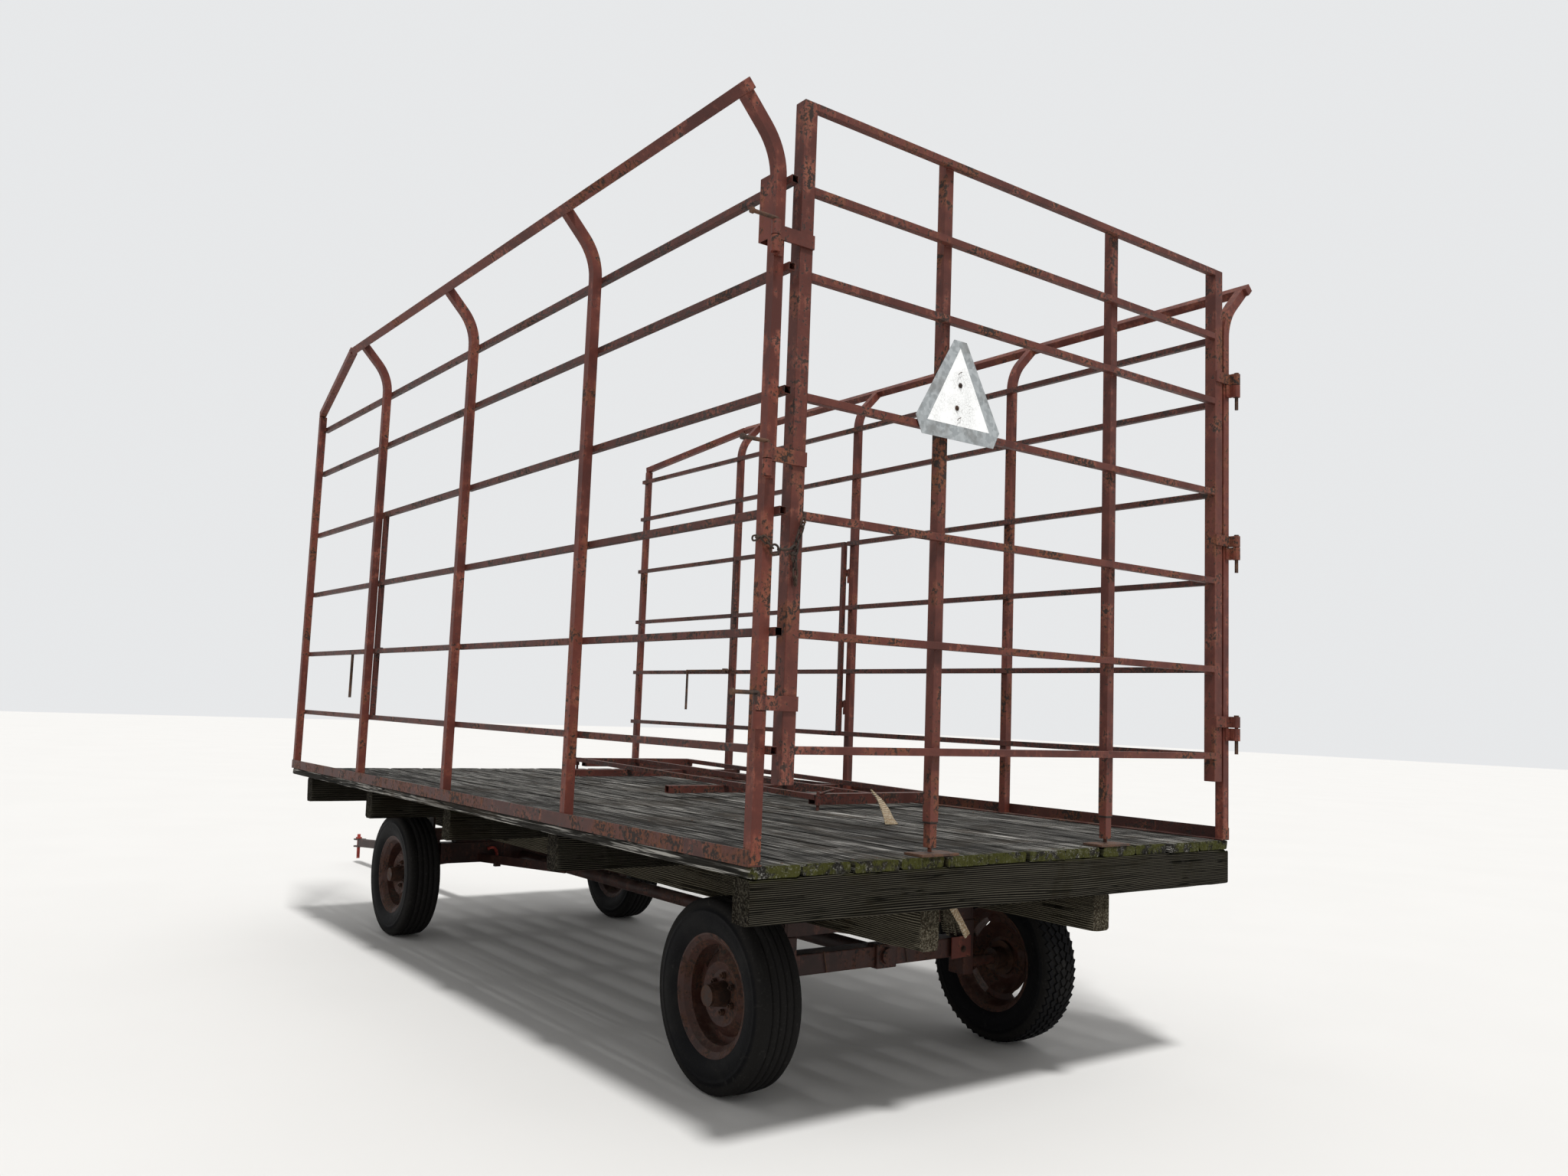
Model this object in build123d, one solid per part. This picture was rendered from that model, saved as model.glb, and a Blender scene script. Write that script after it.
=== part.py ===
from build123d import *
import math
import os

os.makedirs("parts", exist_ok=True)

# All sizes are in millimetres. X runs forward to the tongue, Y to the left, Z up.
# Distances along the wagon are measured from the rear face of the rearmost posts,
# and moved to the middle of the wagon when the pieces are written.

# Deck
deck_top = 925.0
deck_width = 2440.0
plank_count = 12
plank_gap = 4.0
plank_thick = 38.0
plank_rear = [0, -7, 4, -3, 6, -5, 3, -8, 2, -4, 5, 0]
plank_front = [0, 5, -6, 8, 2, -4, 7, -3, 4, 9, -5, 0]
lumber_wide = 89.0
lumber_tall = 140.0
sill_inset = 12.0
sill_places = [1330.0, 2410.0, 3490.0, 4570.0]
stringer_offset = 446.0
stringer_rear = 30.0

# Steel sides
post_size = 38.0
post_wall = 3.2
post_pitch = 1219.0
post_count = 5
rail_size = 25.4
rail_wall = 2.4
rail_heights = [346.0, 705.0, 1077.0, 1455.0, 1849.0, 2133.0]
door_rails = 4
rail_tail = 30.0
flare_radius = 226.0
flare_angle = 43.0
flare_straight = 109.0
flare_start = 2141.0
top_rail_size = 38.0
top_rail_tail = 14.0
top_rail_knee = 170.0
front_post_top = 2212.0
angle_size = 50.0
angle_thick = 5.0
socket_tube = 51.0
socket_tube_from = 1945.0
socket_tube_to = 2155.0

# Rear gate
gate_tube = 51.0
gate_tube_wall = 4.0
gate_left_gap = 102.0
gate_right_gap = 48.0
gate_bottom = 240.0
gate_top = 2415.0
gate_upright = 38.0
gate_upright_places = [446.0, -476.0]
gate_sleeve_bottom = 108.0
gate_stub_fit = 0.3
gate_stub_bottom = 26.0
gate_stub_inside = 90.0
gate_pin = 14.0
gate_pin_gap = 3.0
hinge_heights = [1934.0, 1229.0, 465.0]
hinge_back = 27.0
hinge_out = 34.0
hinge_tube = 15.0
hinge_bore = 8.2
hinge_pin = 7.5
hinge_length = 52.0
hinge_gap = 3.0
pin_tail = 55.0
pin_lever = 88.0
pin_lever_radius = 6.5
pin_ball = 10.0
strap_thick = 8.0
strap_tall = 46.0
plate_thick = 8.0
plate_reach = [95.0, 75.0]
plate_wide = 90.0

# Sign for slow vehicles on the rear gate
sign_width = 406.0
sign_height = 356.0
sign_thick = 2.0
sign_corner = 60.0
sign_middle = 405.0
sign_centre = 1600.0

# Running gear
tyre_radius = 349.0
tyre_width = 190.0
rim_radius = 221.0
rim_width = 156.0
rim_thick = 6.0
well_radius = 184.0
disc_flat = 148.0
wheel_offset = 170.0
rear_axle_x = 797.0
front_axle_x = 4192.0
beam_wide = 90.0
front_beam_tall = 120.0
front_beam_bottom = 402.0
rear_beam_tall = 80.0
rear_beam_bottom = 388.0
rear_upright = 60.0
bolster_tall = 70.0
bolster_wide = 80.0
bolster_overhang = 15.0
bolster_clear = 6.0
pedestal_inset = 120.0
stake_gap = 4.0
stake_thick = 12.0
stake_rise = 90.0
spindle_rise = 42.0
kingpin_half = 560.0
kingpin_barrel = 30.0
yoke_plate = 15.0
yoke_gap = 2.0
spindle_radius = 22.0
reach_radius = 32.0
reach_height = 430.0
steer_arm = 200.0
swivel_ahead = 350.0
tie_rod_heights = [360.0, 336.0]
tie_rod_eye = 20.0
tie_rod_pin = 9.0
tie_rod_radius = 11.0
tongue_hinge_ahead = 640.0
tongue_hinge_height = 354.0
tongue_tip_x = 7300.0
tongue_tip_height = 168.0
tongue_outer = 76.0
tongue_inner = 60.0
hitch_bore = 27.4
hitch_pin = 25.4
hitch_shoulder = 26.2
hitch_step = 36.0
rear_brace_length = 1050.0
rear_brace_side = 450.0
front_brace_length = 700.0
front_brace_side = 310.0
brace_wide = 12.0
brace_tall = 50.0
hub_boss = 55.0
clamp_thick = 14.0
collar_thick = 5.0
collar_length = 60.0

# Places worked out from the sizes above
deck_length = post_size + (post_count - 1) * post_pitch
post_centre = deck_width / 2 - post_size / 2
rail_centre = deck_width / 2 - post_size - rail_size / 2
gate_left = deck_width / 2 - gate_left_gap
gate_right = deck_width / 2 - gate_right_gap
hinge_side = post_centre + hinge_out
track_half = kingpin_half + wheel_offset
bolster_half = stringer_offset + lumber_wide / 2 + stake_gap
rear_beam_half = bolster_half + stake_thick - rear_upright
front_bolster_half = kingpin_half + bolster_overhang
gate_stub = gate_upright - 2 * post_wall - 2 * gate_stub_fit
plank_wide = (deck_width - plank_gap * (plank_count - 1)) / plank_count
sill_top = deck_top - plank_thick
stringer_top = sill_top - lumber_tall
stringer_bottom = stringer_top - lumber_tall
swivel_x = front_axle_x + swivel_ahead
hinge_x = front_axle_x + tongue_hinge_ahead
rear_end = -hinge_back - hinge_tube - 2
tongue_nose = 60.0
front_end = tongue_tip_x + tongue_nose
middle = (rear_end + front_end) / 2
left_and_right = [("left", 1), ("right", -1)]


def bar(x_from, x_to, y_from, y_to, z_from, z_to):
    size = (abs(x_to - x_from), abs(y_to - y_from), abs(z_to - z_from))
    place = ((x_from + x_to) / 2, (y_from + y_to) / 2, (z_from + z_to) / 2)
    return Pos(*place) * Box(*size)


def tube_along_x(x_from, x_to, y, z, size, wall):
    outside = bar(x_from, x_to, y - size / 2, y + size / 2, z - size / 2, z + size / 2)
    inner = size / 2 - wall
    return outside - bar(x_from, x_to, y - inner, y + inner, z - inner, z + inner)


def tube_along_y(y_from, y_to, x, z, size, wall):
    outside = bar(x - size / 2, x + size / 2, y_from, y_to, z - size / 2, z + size / 2)
    inner = size / 2 - wall
    return outside - bar(x - inner, x + inner, y_from, y_to, z - inner, z + inner)


def tube_along_z(z_from, z_to, x, y, size, wall):
    outside = bar(x - size / 2, x + size / 2, y - size / 2, y + size / 2, z_from, z_to)
    inner = size / 2 - wall
    return outside - bar(x - inner, x + inner, y - inner, y + inner, z_from, z_to)


def rod(start, end, radius):
    direction = Vector(*end) - Vector(*start)
    plane = Plane(origin=start, z_dir=direction)
    return extrude(plane * Circle(radius), direction.length)


def square_bar(start, end, wide, tall):
    direction = Vector(*end) - Vector(*start)
    side = Vector(0, 0, 1).cross(direction)
    plane = Plane(origin=start, x_dir=side, z_dir=direction)
    return extrude(plane * Rectangle(wide, tall), direction.length)


def write(name, shapes):
    solids = []
    for shape in shapes:
        solids += list(shape.solids())
    moved = [Pos(-middle, 0, 0) * solid for solid in solids]
    piece = moved[0] if len(moved) == 1 else Compound(children=moved)
    export_step(piece, "parts/" + name + ".step")
    volume = sum(solid.volume for solid in solids) / 1e9
    print(name, len(solids), "solids", round(volume, 5), "m3")
    return volume


# Deck planks, beams and stringers
planks = []
for index in range(plank_count):
    right_edge = -deck_width / 2 + index * (plank_wide + plank_gap)
    rear = plank_rear[index % len(plank_rear)]
    front = deck_length + plank_front[index % len(plank_front)]
    planks.append(bar(rear, front, right_edge, right_edge + plank_wide, sill_top, deck_top))

sill_half = deck_width / 2 - sill_inset
sill_starts = [0.0] + [place - lumber_wide / 2 for place in sill_places]
sills = []
for index, start in enumerate(sill_starts):
    half = deck_width / 2 if index == 0 else sill_half
    sills.append(bar(start, start + lumber_wide, -half, half, stringer_top, sill_top))

stringers = []
for name, side in left_and_right:
    centre = side * stringer_offset
    stringers.append(bar(stringer_rear, deck_length - 20, centre - lumber_wide / 2,
                         centre + lumber_wide / 2, stringer_bottom, stringer_top))

# Angle irons on the deck's edges
angles = []
for name, side in left_and_right:
    outer = side * (deck_width / 2 + angle_thick)
    inner = side * (deck_width / 2)
    flange = side * (deck_width / 2 + angle_thick - angle_size)
    upright = bar(0, deck_length, outer, inner, deck_top, deck_top + angle_size)
    foot = bar(0, deck_length, inner, flange, deck_top, deck_top + angle_thick)
    angles.append(upright + foot)

# Posts, with a curved flare at the top of all but the front pair
posts_left = []
posts_right = []
flare = math.radians(flare_angle)
bend_out = flare_radius * (1 - math.cos(flare))
bend_up = flare_radius * math.sin(flare)
flare_out = bend_out + flare_straight * math.sin(flare)
flare_up = bend_up + flare_straight * math.cos(flare)
for index in range(post_count):
    x = post_size / 2 + index * post_pitch
    foot = deck_top + angle_thick
    for name, side in left_and_right:
        y = side * post_centre
        if index == post_count - 1:
            post = tube_along_z(foot, deck_top + front_post_top, x, y, post_size, post_wall)
        else:
            bend = deck_top + flare_start
            bend_end = (x, y + side * bend_out, bend + bend_up)
            tip = (x, y + side * flare_out, bend + flare_up)
            path = Line((x, y, foot), (x, y, bend))
            path += TangentArc((x, y, bend), bend_end, tangent=(0, 0, 1))
            path += Line(bend_end, tip)
            section = Rectangle(post_size, post_size)
            section -= Rectangle(post_size - 2 * post_wall, post_size - 2 * post_wall)
            post = sweep(Plane((x, y, foot)) * section, path=path)
            if index == 0:
                socket_inner = bar(post_size + post_wall, post_size + socket_tube - post_wall,
                                   y - post_size / 2 + post_wall, y + post_size / 2 - post_wall,
                                   deck_top + socket_tube_from, deck_top + socket_tube_to)
                socket_outer = bar(post_size, post_size + socket_tube, y - post_size / 2, y + post_size / 2,
                                   deck_top + socket_tube_from, deck_top + socket_tube_to)
                post = post + (socket_outer - socket_inner)
        (posts_left if side > 0 else posts_right).append(post)

# Side rails inside the posts. The lower ones leave a bay open for the doors.
door_rear_post = post_size / 2 + 2 * post_pitch
door_front_post = post_size / 2 + 3 * post_pitch
bay_start = door_rear_post + post_size / 2
bay_end = door_front_post - post_size / 2
rails_left = []
rails_right = []
for index, height in enumerate(rail_heights):
    z = deck_top + height
    for name, side in left_and_right:
        rear = -rail_tail if side > 0 else gate_tube + 8
        spans = [(rear, deck_length)]
        if index < door_rails:
            spans = [(rear, bay_start), (bay_end, deck_length)]
        for start, end in spans:
            rail = tube_along_x(start, end, side * rail_centre, z, rail_size, rail_wall)
            (rails_left if side > 0 else rails_right).append(rail)

# Top rails seat on the flared ends and slope down to the front posts
top_out = flare_out + top_rail_size / 2 * math.sin(flare)
top_up = flare_up + top_rail_size / 2 * math.cos(flare)
top_height = deck_top + flare_start + top_up
top_rails = []
for name, side in left_and_right:
    y = side * (post_centre + top_out)
    last = post_size / 2 + 3 * post_pitch
    front_z = deck_top + front_post_top + top_rail_size / 2
    turn = -side * flare_angle
    profile = Rot(turn, 0, 0) * Rot(0, 90, 0) * Rectangle(top_rail_size, top_rail_size)
    knee = last + top_rail_knee
    level = extrude(Pos(-top_rail_tail, y, top_height) * profile, knee + 6 + top_rail_tail)
    slope = square_bar((knee, y, top_height), (deck_length, side * post_centre, front_z),
                       top_rail_size, top_rail_size)
    top_rails.append(level + slope)
posts_left[-1] -= top_rails[0]
posts_right[-1] -= top_rails[1]

# Rear gate: two stiles, seven rails on their rear side and two uprights ahead of the rails
stiles = []
stile_middle = gate_tube / 2
left_stile = gate_left - gate_tube / 2
right_stile = -gate_right + gate_tube / 2
for y in (left_stile, right_stile):
    stiles.append(tube_along_z(deck_top + gate_bottom, deck_top + gate_top + rail_size / 2,
                               stile_middle, y, gate_tube, gate_tube_wall))

gate_heights = rail_heights + [gate_top]
gate_rails = []
for height in gate_heights:
    gate_rails.append(tube_along_y(right_stile + gate_tube / 2, left_stile - gate_tube / 2,
                                   rail_size / 2, deck_top + height, rail_size, rail_wall))

uprights = []
stubs = []
upright_x = rail_size + gate_upright / 2
for y in gate_upright_places:
    uprights.append(tube_along_z(deck_top + gate_sleeve_bottom, deck_top + gate_top + rail_size / 2,
                                 upright_x, y, gate_upright, post_wall))
    stub = bar(upright_x - gate_stub / 2, upright_x + gate_stub / 2, y - gate_stub / 2,
               y + gate_stub / 2, deck_top + gate_stub_bottom, deck_top + gate_sleeve_bottom + gate_stub_inside)
    pin = Pos(upright_x, y, deck_top + plate_thick + gate_pin_gap) * Cylinder(
        gate_pin / 2, gate_stub_bottom - plate_thick - gate_pin_gap,
        align=(Align.CENTER, Align.CENTER, Align.MIN))
    stubs.append(stub + pin)

# Hinge pins on the right side and the like latch pins on the left
straps = []
knuckles = []
pins = []
for side in (1, -1):
    stile_y = left_stile if side > 0 else right_stile
    pin_y = side * hinge_side
    for height in hinge_heights:
        z = deck_top + height
        strap = bar(-strap_thick, 0, stile_y - side * gate_tube / 2,
                    pin_y - side * hinge_tube * 0.6, z, z + strap_tall)
        eye = Pos(-hinge_back, pin_y, z + strap_tall / 2) * Cylinder(hinge_tube, strap_tall)
        link = bar(-hinge_back, 0, pin_y - side * (hinge_tube * 1.35), pin_y - side * hinge_tube * 0.6,
                   z, z + strap_tall)
        eye = eye + link
        bore = Pos(-hinge_back, pin_y, z + strap_tall / 2) * Cylinder(hinge_bore, strap_tall * 2)
        straps.append(strap + (eye - bore))
        socket_z = z - hinge_gap - hinge_length / 2
        socket = Pos(-hinge_back, pin_y, socket_z) * Cylinder(hinge_tube, hinge_length)
        web_low = socket_z - hinge_length / 2
        web_high = socket_z + hinge_length / 2
        web = bar(-hinge_back, 0, pin_y - side * (hinge_tube * 1.35), pin_y - side * hinge_tube * 0.6,
                  web_low, web_high)
        web = web + bar(-strap_thick, 0, side * (post_centre - post_size / 4), pin_y - side * hinge_tube * 0.6,
                        web_low, web_high)
        socket_bore = Pos(-hinge_back, pin_y, socket_z) * Cylinder(hinge_bore, hinge_length * 2)
        knuckles.append((socket + web) - socket_bore)
        tip = z - hinge_gap - hinge_length - pin_tail if side < 0 else z
        head = z + strap_tall
        shank = Pos(-hinge_back, pin_y, (tip + head) / 2) * Cylinder(hinge_pin, head - tip)
        if side > 0:
            # the latch pins have a long lever with a knob
            lever_z = head + pin_lever_radius
            shank = shank + rod((-hinge_back, pin_y, head - 1), (-hinge_back, pin_y, head + 9), hinge_pin)
            shank = shank + rod((-hinge_back, pin_y, lever_z),
                                (-hinge_back, pin_y + pin_lever, lever_z), pin_lever_radius)
            shank = shank + rod((-hinge_back, pin_y + pin_lever, lever_z),
                                (-hinge_back, pin_y + pin_lever + pin_ball, lever_z), pin_ball)
        else:
            shank = shank + rod((-hinge_back, pin_y, head), (-hinge_back, pin_y, head + 6), pin_ball)
        pins.append(shank)

# Plates on the deck under the gate's drop pins
deck_plates = []
for y in gate_upright_places:
    deck_plates.append(bar(upright_x - plate_wide / 2, upright_x + plate_wide / 2, y - plate_reach[0],
                           y + plate_reach[1], deck_top, deck_top + plate_thick))

# Sign plate wired to the left upright, behind the rails
half_w = sign_width / 2
sign_z = deck_top + sign_centre
corners = [
    (-half_w, -sign_height / 2 + sign_corner),
    (-half_w + sign_corner / 2, -sign_height / 2),
    (half_w - sign_corner / 2, -sign_height / 2),
    (half_w, -sign_height / 2 + sign_corner),
    (sign_corner / 2, sign_height / 2),
    (-sign_corner / 2, sign_height / 2),
]
sign_plane = Plane(origin=(-4, sign_middle, sign_z), x_dir=(0, -1, 0), z_dir=(-1, 0, 0))
sign = extrude(sign_plane * Polygon(*corners, align=None), sign_thick)
sign_clip = bar(-4, 0, sign_middle - 12, sign_middle + 12,
                deck_top + rail_heights[3] - rail_size / 2, deck_top + rail_heights[3] + rail_size / 2)

# Chain with a load hook, which ties the gate's left stile to the rear post. It hangs from a stud
# on the stile, runs through the hook's eye and ends beside the post.
chain_wire = 6.0
chain_long = 36.0
chain_wide = 21.0
chain_play = 0.4
chain_pitch = chain_long - 2 * chain_wire - chain_play
chain_x = -14.0
chain_height = 960.0
link_outer = chamfer(Rectangle(chain_long, chain_wide).vertices(), chain_wide * 0.3)
link_hole = Rectangle(chain_long - 2 * chain_wire, chain_wide - 2 * chain_wire)
link_hole = chamfer(link_hole.vertices(), (chain_wide - 3 * chain_wire) / 2 - chain_play)
link = extrude(link_outer - link_hole, chain_wire / 2, both=True)
chain_runs = [
    # first link's centre as x, y and height, then the run's direction, then the number of links
    ((chain_x, 1103.9, chain_height + 17.6), (0.0, -0.342, 0.94), 4),
    ((chain_x, 1107.6, chain_height - 20.7), (0.0, -0.094, -0.996), 4),
    ((chain_x, 1203.0, chain_height + 8.5), (0.0, 0.8, 0.6), 2),
    ((chain_x + 15, 1231.0, chain_height + 29.2), (1.0, 0.0, 0.0), 2),
]
chain = []
for centre, ahead, count in chain_runs:
    across = (0.0, 0.8, 0.6) if ahead[0] else (1.0, 0.0, 0.0)
    for step in range(count):
        place = [centre[axis] + ahead[axis] * step * chain_pitch for axis in (0, 1, 2)]
        plane = Plane(origin=(place[0], place[1], deck_top + place[2]), x_dir=ahead,
                      z_dir=Vector(*ahead).cross(Vector(*across)))
        chain.append(plane * Rot(90 * (step % 2), 0, 0) * link)
hook_z = deck_top + chain_height
hook_body = bar(chain_x - 3, chain_x + 3, 1112, 1171, hook_z - 7, hook_z + 5)
hook_body = hook_body + Pos(chain_x, 1109, hook_z) * Rot(0, 90, 0) * Cylinder(16, 6)
hook_body = hook_body - Pos(chain_x, 1109, hook_z) * Rot(0, 90, 0) * Cylinder(10, 8)
hook_ring = Pos(chain_x, 1184, hook_z - 5) * Rot(0, 90, 0)
hook_body = hook_body + hook_ring * (Cylinder(19, 7) - Cylinder(12.5, 8))
stud_y = 1103.9 - 0.342 * (3 * chain_pitch + chain_long / 2 - chain_wire - 4)
stud_z = hook_z + 17.6 + 0.94 * (3 * chain_pitch + chain_long / 2 - chain_wire - 4)
chain += [hook_body, rod((chain_x - 8, stud_y, stud_z), (0, stud_y, stud_z), 3.4)]

# Side doors, hinged on the third posts and latched on the fourth
door_gap = 24.0
door_shut_gap = 6.0
door_start = bay_start + door_gap
door_end = bay_end - door_shut_gap
door_bottom = deck_top + rail_heights[0] - rail_size / 2
door_top = deck_top + rail_heights[door_rails - 1] + rail_size / 2
door_hinge_places = [150.0, -190.0]
door_hinges = [rail_heights[0] + door_hinge_places[0], rail_heights[3] + door_hinge_places[1]]
door_hinge_x = bay_start + door_gap / 2
door_hinge_y = rail_centre + rail_size / 2 + 6
doors = {}
door_eyes = {}
door_sockets = []
for name, side in left_and_right:
    y = side * rail_centre
    pieces = []
    for x in (door_start + rail_size / 2, door_end - rail_size / 2):
        pieces.append(tube_along_z(door_bottom, door_top, x, y, rail_size, rail_wall))
    for height in rail_heights[:door_rails]:
        pieces.append(tube_along_x(door_start + rail_size, door_end - rail_size, y,
                                   deck_top + height, rail_size, rail_wall))
    doors[name] = pieces
    eyes = []
    for height in door_hinges:
        z = deck_top + height
        hy = side * door_hinge_y
        leaf = bar(door_hinge_x, door_start + rail_size * 0.7, side * (rail_centre + rail_size / 2),
                   side * (rail_centre + rail_size / 2 + 5), z, z + 40)
        eye = Pos(door_hinge_x, hy, z + 20) * Cylinder(8, 40)
        bore = Pos(door_hinge_x, hy, z + 20) * Cylinder(5.3, 80)
        eyes.append((leaf + eye) - bore)
        socket = Pos(door_hinge_x, hy, z - 21) * Cylinder(8, 38)
        web = bar(bay_start, door_hinge_x, hy - 4, hy + 4, z - 40, z - 2)
        post_pin = Pos(door_hinge_x, hy, z + 2) * Cylinder(5, 84)
        door_sockets.append((socket + web) + post_pin)
    door_eyes[name] = eyes

# Latch rods with a bent leg, beside the fourth posts
latch_radius = 8.0
latch_reach = 470.0
latch_leg = 265.0
latch_guide = 14.0
latch_rods = []
for name, side in left_and_right:
    y = side * (rail_centre - rail_size / 2 - latch_guide)
    z = deck_top + rail_heights[1] + latch_radius
    end = door_front_post + latch_reach
    straight = rod((bay_end - 20, y, z), (end, y, z), latch_radius)
    leg = rod((end - latch_radius, y, z + latch_radius), (end - latch_radius, y, z - latch_leg), latch_radius)
    guide = bar(door_front_post - latch_guide, door_front_post + latch_guide, y - latch_guide,
                y + latch_guide, z - latch_guide, z + latch_guide)
    guide = guide - rod((bay_end - 40, y, z), (end, y, z), latch_radius + 0.4)
    latch_rods += [straight + leg, guide]

# A loose gate panel lies on the deck, uprights down, on the feet of its corner pins.
# Its front end stands a little higher than its rear end.
panel_start = 1630.0
panel_length = 2400.0
panel_near = -300.0
panel_rails = [0.0, 385.0, 790.0]
panel_uprights = [765.0, 1790.0]
panel_stub = 350.0
panel_sleeve = 145.0
panel_lift = 10.0
panel_rise = 45.0
panel_tail = 75.0
panel_foot = 13.0
panel_slope = math.degrees(math.atan2(panel_rise, panel_length))
panel_frame = Pos(panel_start, panel_near, deck_top + panel_lift) * Rot(0, -panel_slope, 0)
panel_rail_z = gate_upright + rail_size / 2
panel_stile_z = gate_upright + rail_size - gate_tube / 2
panel_far = -panel_rails[-1] - rail_size / 2
panel = []
for index, offset in enumerate(panel_rails):
    tail = panel_tail if index == 0 else 0
    panel.append(tube_along_x(gate_tube - tail, panel_length - gate_tube + tail, -offset, panel_rail_z,
                              rail_size, rail_wall))
for x in (gate_tube / 2, panel_length - gate_tube / 2):
    stile = tube_along_y(panel_far, -rail_size / 2, x, panel_stile_z, gate_tube, gate_tube_wall)
    panel.append(stile)
for x in panel_uprights:
    upright = tube_along_y(panel_far, panel_stub, x, gate_upright / 2, gate_upright, post_wall)
    sleeve = bar(x - gate_upright / 2 - 4, x + gate_upright / 2 + 4, -panel_sleeve, -panel_sleeve + 40,
                 0, gate_upright)
    hollow = bar(x - gate_upright / 2, x + gate_upright / 2, -panel_sleeve - 1, -panel_sleeve + 41,
                 -1, gate_upright + 1)
    panel.append(upright + (sleeve - hollow))
loose_panel = [panel_frame * piece for piece in panel]
panel_corners = [
    # distance along the panel, distance to the right of the near rail, height of the pin, lever
    (gate_tube - panel_tail - panel_foot, 0.0, 88.0, (0.0, -95.0, 8.0)),
    (panel_length - gate_tube + panel_tail + panel_foot, 0.0, 112.0, (40.0, 25.0, 42.0)),
    (gate_tube / 2, panel_rails[-1] + rail_size / 2 + panel_foot, 70.0, (0.0, 0.0, 0.0)),
    (panel_length - gate_tube / 2, panel_rails[-1] + rail_size / 2 + panel_foot, 112.0, (0.0, 0.0, 0.0)),
]
for along, across, tall, lever in panel_corners:
    foot = (panel_start + along, panel_near - across, deck_top)
    head = (foot[0], foot[1], deck_top + tall)
    pin = rod(foot, head, hinge_pin)
    eye_z = deck_top + panel_lift + panel_stile_z + panel_rise * along / panel_length
    pin = pin + Pos(foot[0], foot[1], eye_z) * Cylinder(panel_foot, gate_tube * 0.9)
    if lever[1] != 0.0:
        pin = pin + rod((foot[0], foot[1], deck_top + tall - 2 * pin_lever_radius),
                        (foot[0] + lever[0], foot[1] + lever[1], deck_top + tall + lever[2]),
                        pin_lever_radius)
    loose_panel.append(pin)

# Rear axle: a box beam between two uprights that carry the spindles and the bolster
axle_z = tyre_radius
bolster_bottom = stringer_bottom - bolster_tall
rear_beam = bar(rear_axle_x - beam_wide / 2, rear_axle_x + beam_wide / 2, -rear_beam_half,
                rear_beam_half, rear_beam_bottom, rear_beam_bottom + rear_beam_tall)
clamp_back = rear_axle_x - beam_wide / 2 - clamp_thick
rear_beam = rear_beam + bar(clamp_back, rear_axle_x, -reach_radius - clamp_thick * 1.5,
                            reach_radius + clamp_thick * 1.5, rear_beam_bottom - clamp_thick / 2,
                            reach_height + reach_radius + clamp_thick)
rear_beam -= rod((clamp_back - 1, 0, reach_height), (rear_axle_x + beam_wide, 0, reach_height),
                 reach_radius)
for name, side in left_and_right:
    upright = bar(rear_axle_x - beam_wide / 2, rear_axle_x + beam_wide / 2, side * rear_beam_half,
                  side * (rear_beam_half + rear_upright), axle_z - spindle_rise, bolster_bottom)
    spindle = rod((rear_axle_x, side * (rear_beam_half + rear_upright / 2), axle_z),
                  (rear_axle_x, side * (track_half + hub_boss), axle_z), spindle_radius)
    rear_beam = rear_beam + upright + spindle

stake_inner = bolster_half
rear_bolster = bar(rear_axle_x - bolster_wide / 2, rear_axle_x + bolster_wide / 2, -stake_inner,
                   stake_inner, bolster_bottom, stringer_bottom)
rear_plates = []
for name, side in left_and_right:
    rear_plates.append(bar(rear_axle_x - bolster_wide / 2, rear_axle_x + bolster_wide / 2,
                           side * stake_inner, side * (stake_inner + stake_thick), bolster_bottom,
                           stringer_bottom + stake_rise))

# Reach pole and its braces
reach_front = front_axle_x - beam_wide / 2
reach = rod((clamp_back - clamp_thick, 0, reach_height), (reach_front, 0, reach_height), reach_radius)
braces = []
brace_foot = reach_radius + 6
for name, side in left_and_right:
    rear_brace = square_bar((rear_axle_x, side * rear_brace_side, reach_height),
                            (rear_axle_x + rear_brace_length, side * brace_foot, reach_height),
                            brace_wide, brace_tall)
    front_brace = square_bar((front_axle_x, side * front_brace_side, reach_height),
                             (front_axle_x - front_brace_length, side * brace_foot, reach_height),
                             brace_wide, brace_tall)
    low, high = reach_height - brace_tall, reach_height + brace_tall
    rear_clear = bar(rear_axle_x - beam_wide, rear_axle_x + beam_wide / 2, -track_half, track_half,
                     low, high)
    front_clear = bar(front_axle_x - beam_wide / 2, front_axle_x + beam_wide, -track_half, track_half,
                      low, high)
    braces += [rear_brace - rear_clear, front_brace - front_clear]

# Front axle with its bolster and the nose that carries the tongue's swivel
front_beam_top = front_beam_bottom + front_beam_tall
beam_end = kingpin_half - kingpin_barrel + 4
front_beam = bar(front_axle_x - beam_wide / 2, front_axle_x + beam_wide / 2, -beam_end, beam_end,
                 front_beam_bottom, front_beam_top)
for name, side in left_and_right:
    barrel = Pos(front_axle_x, side * kingpin_half, (front_beam_bottom + front_beam_top) / 2)
    front_beam = front_beam + barrel * Cylinder(kingpin_barrel, front_beam_tall)
front_bolster_bottom = front_beam_top + yoke_gap + yoke_plate + bolster_clear
pedestal_half = kingpin_half - pedestal_inset
front_bolster = bar(front_axle_x - bolster_wide / 2, front_axle_x + bolster_wide / 2,
                    -front_bolster_half, front_bolster_half, front_bolster_bottom, stringer_bottom)
front_bolster = front_bolster + bar(front_axle_x - bolster_wide / 2, front_axle_x + bolster_wide / 2,
                                    -pedestal_half, pedestal_half, front_beam_top, front_bolster_bottom)
front_plates = []
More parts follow.
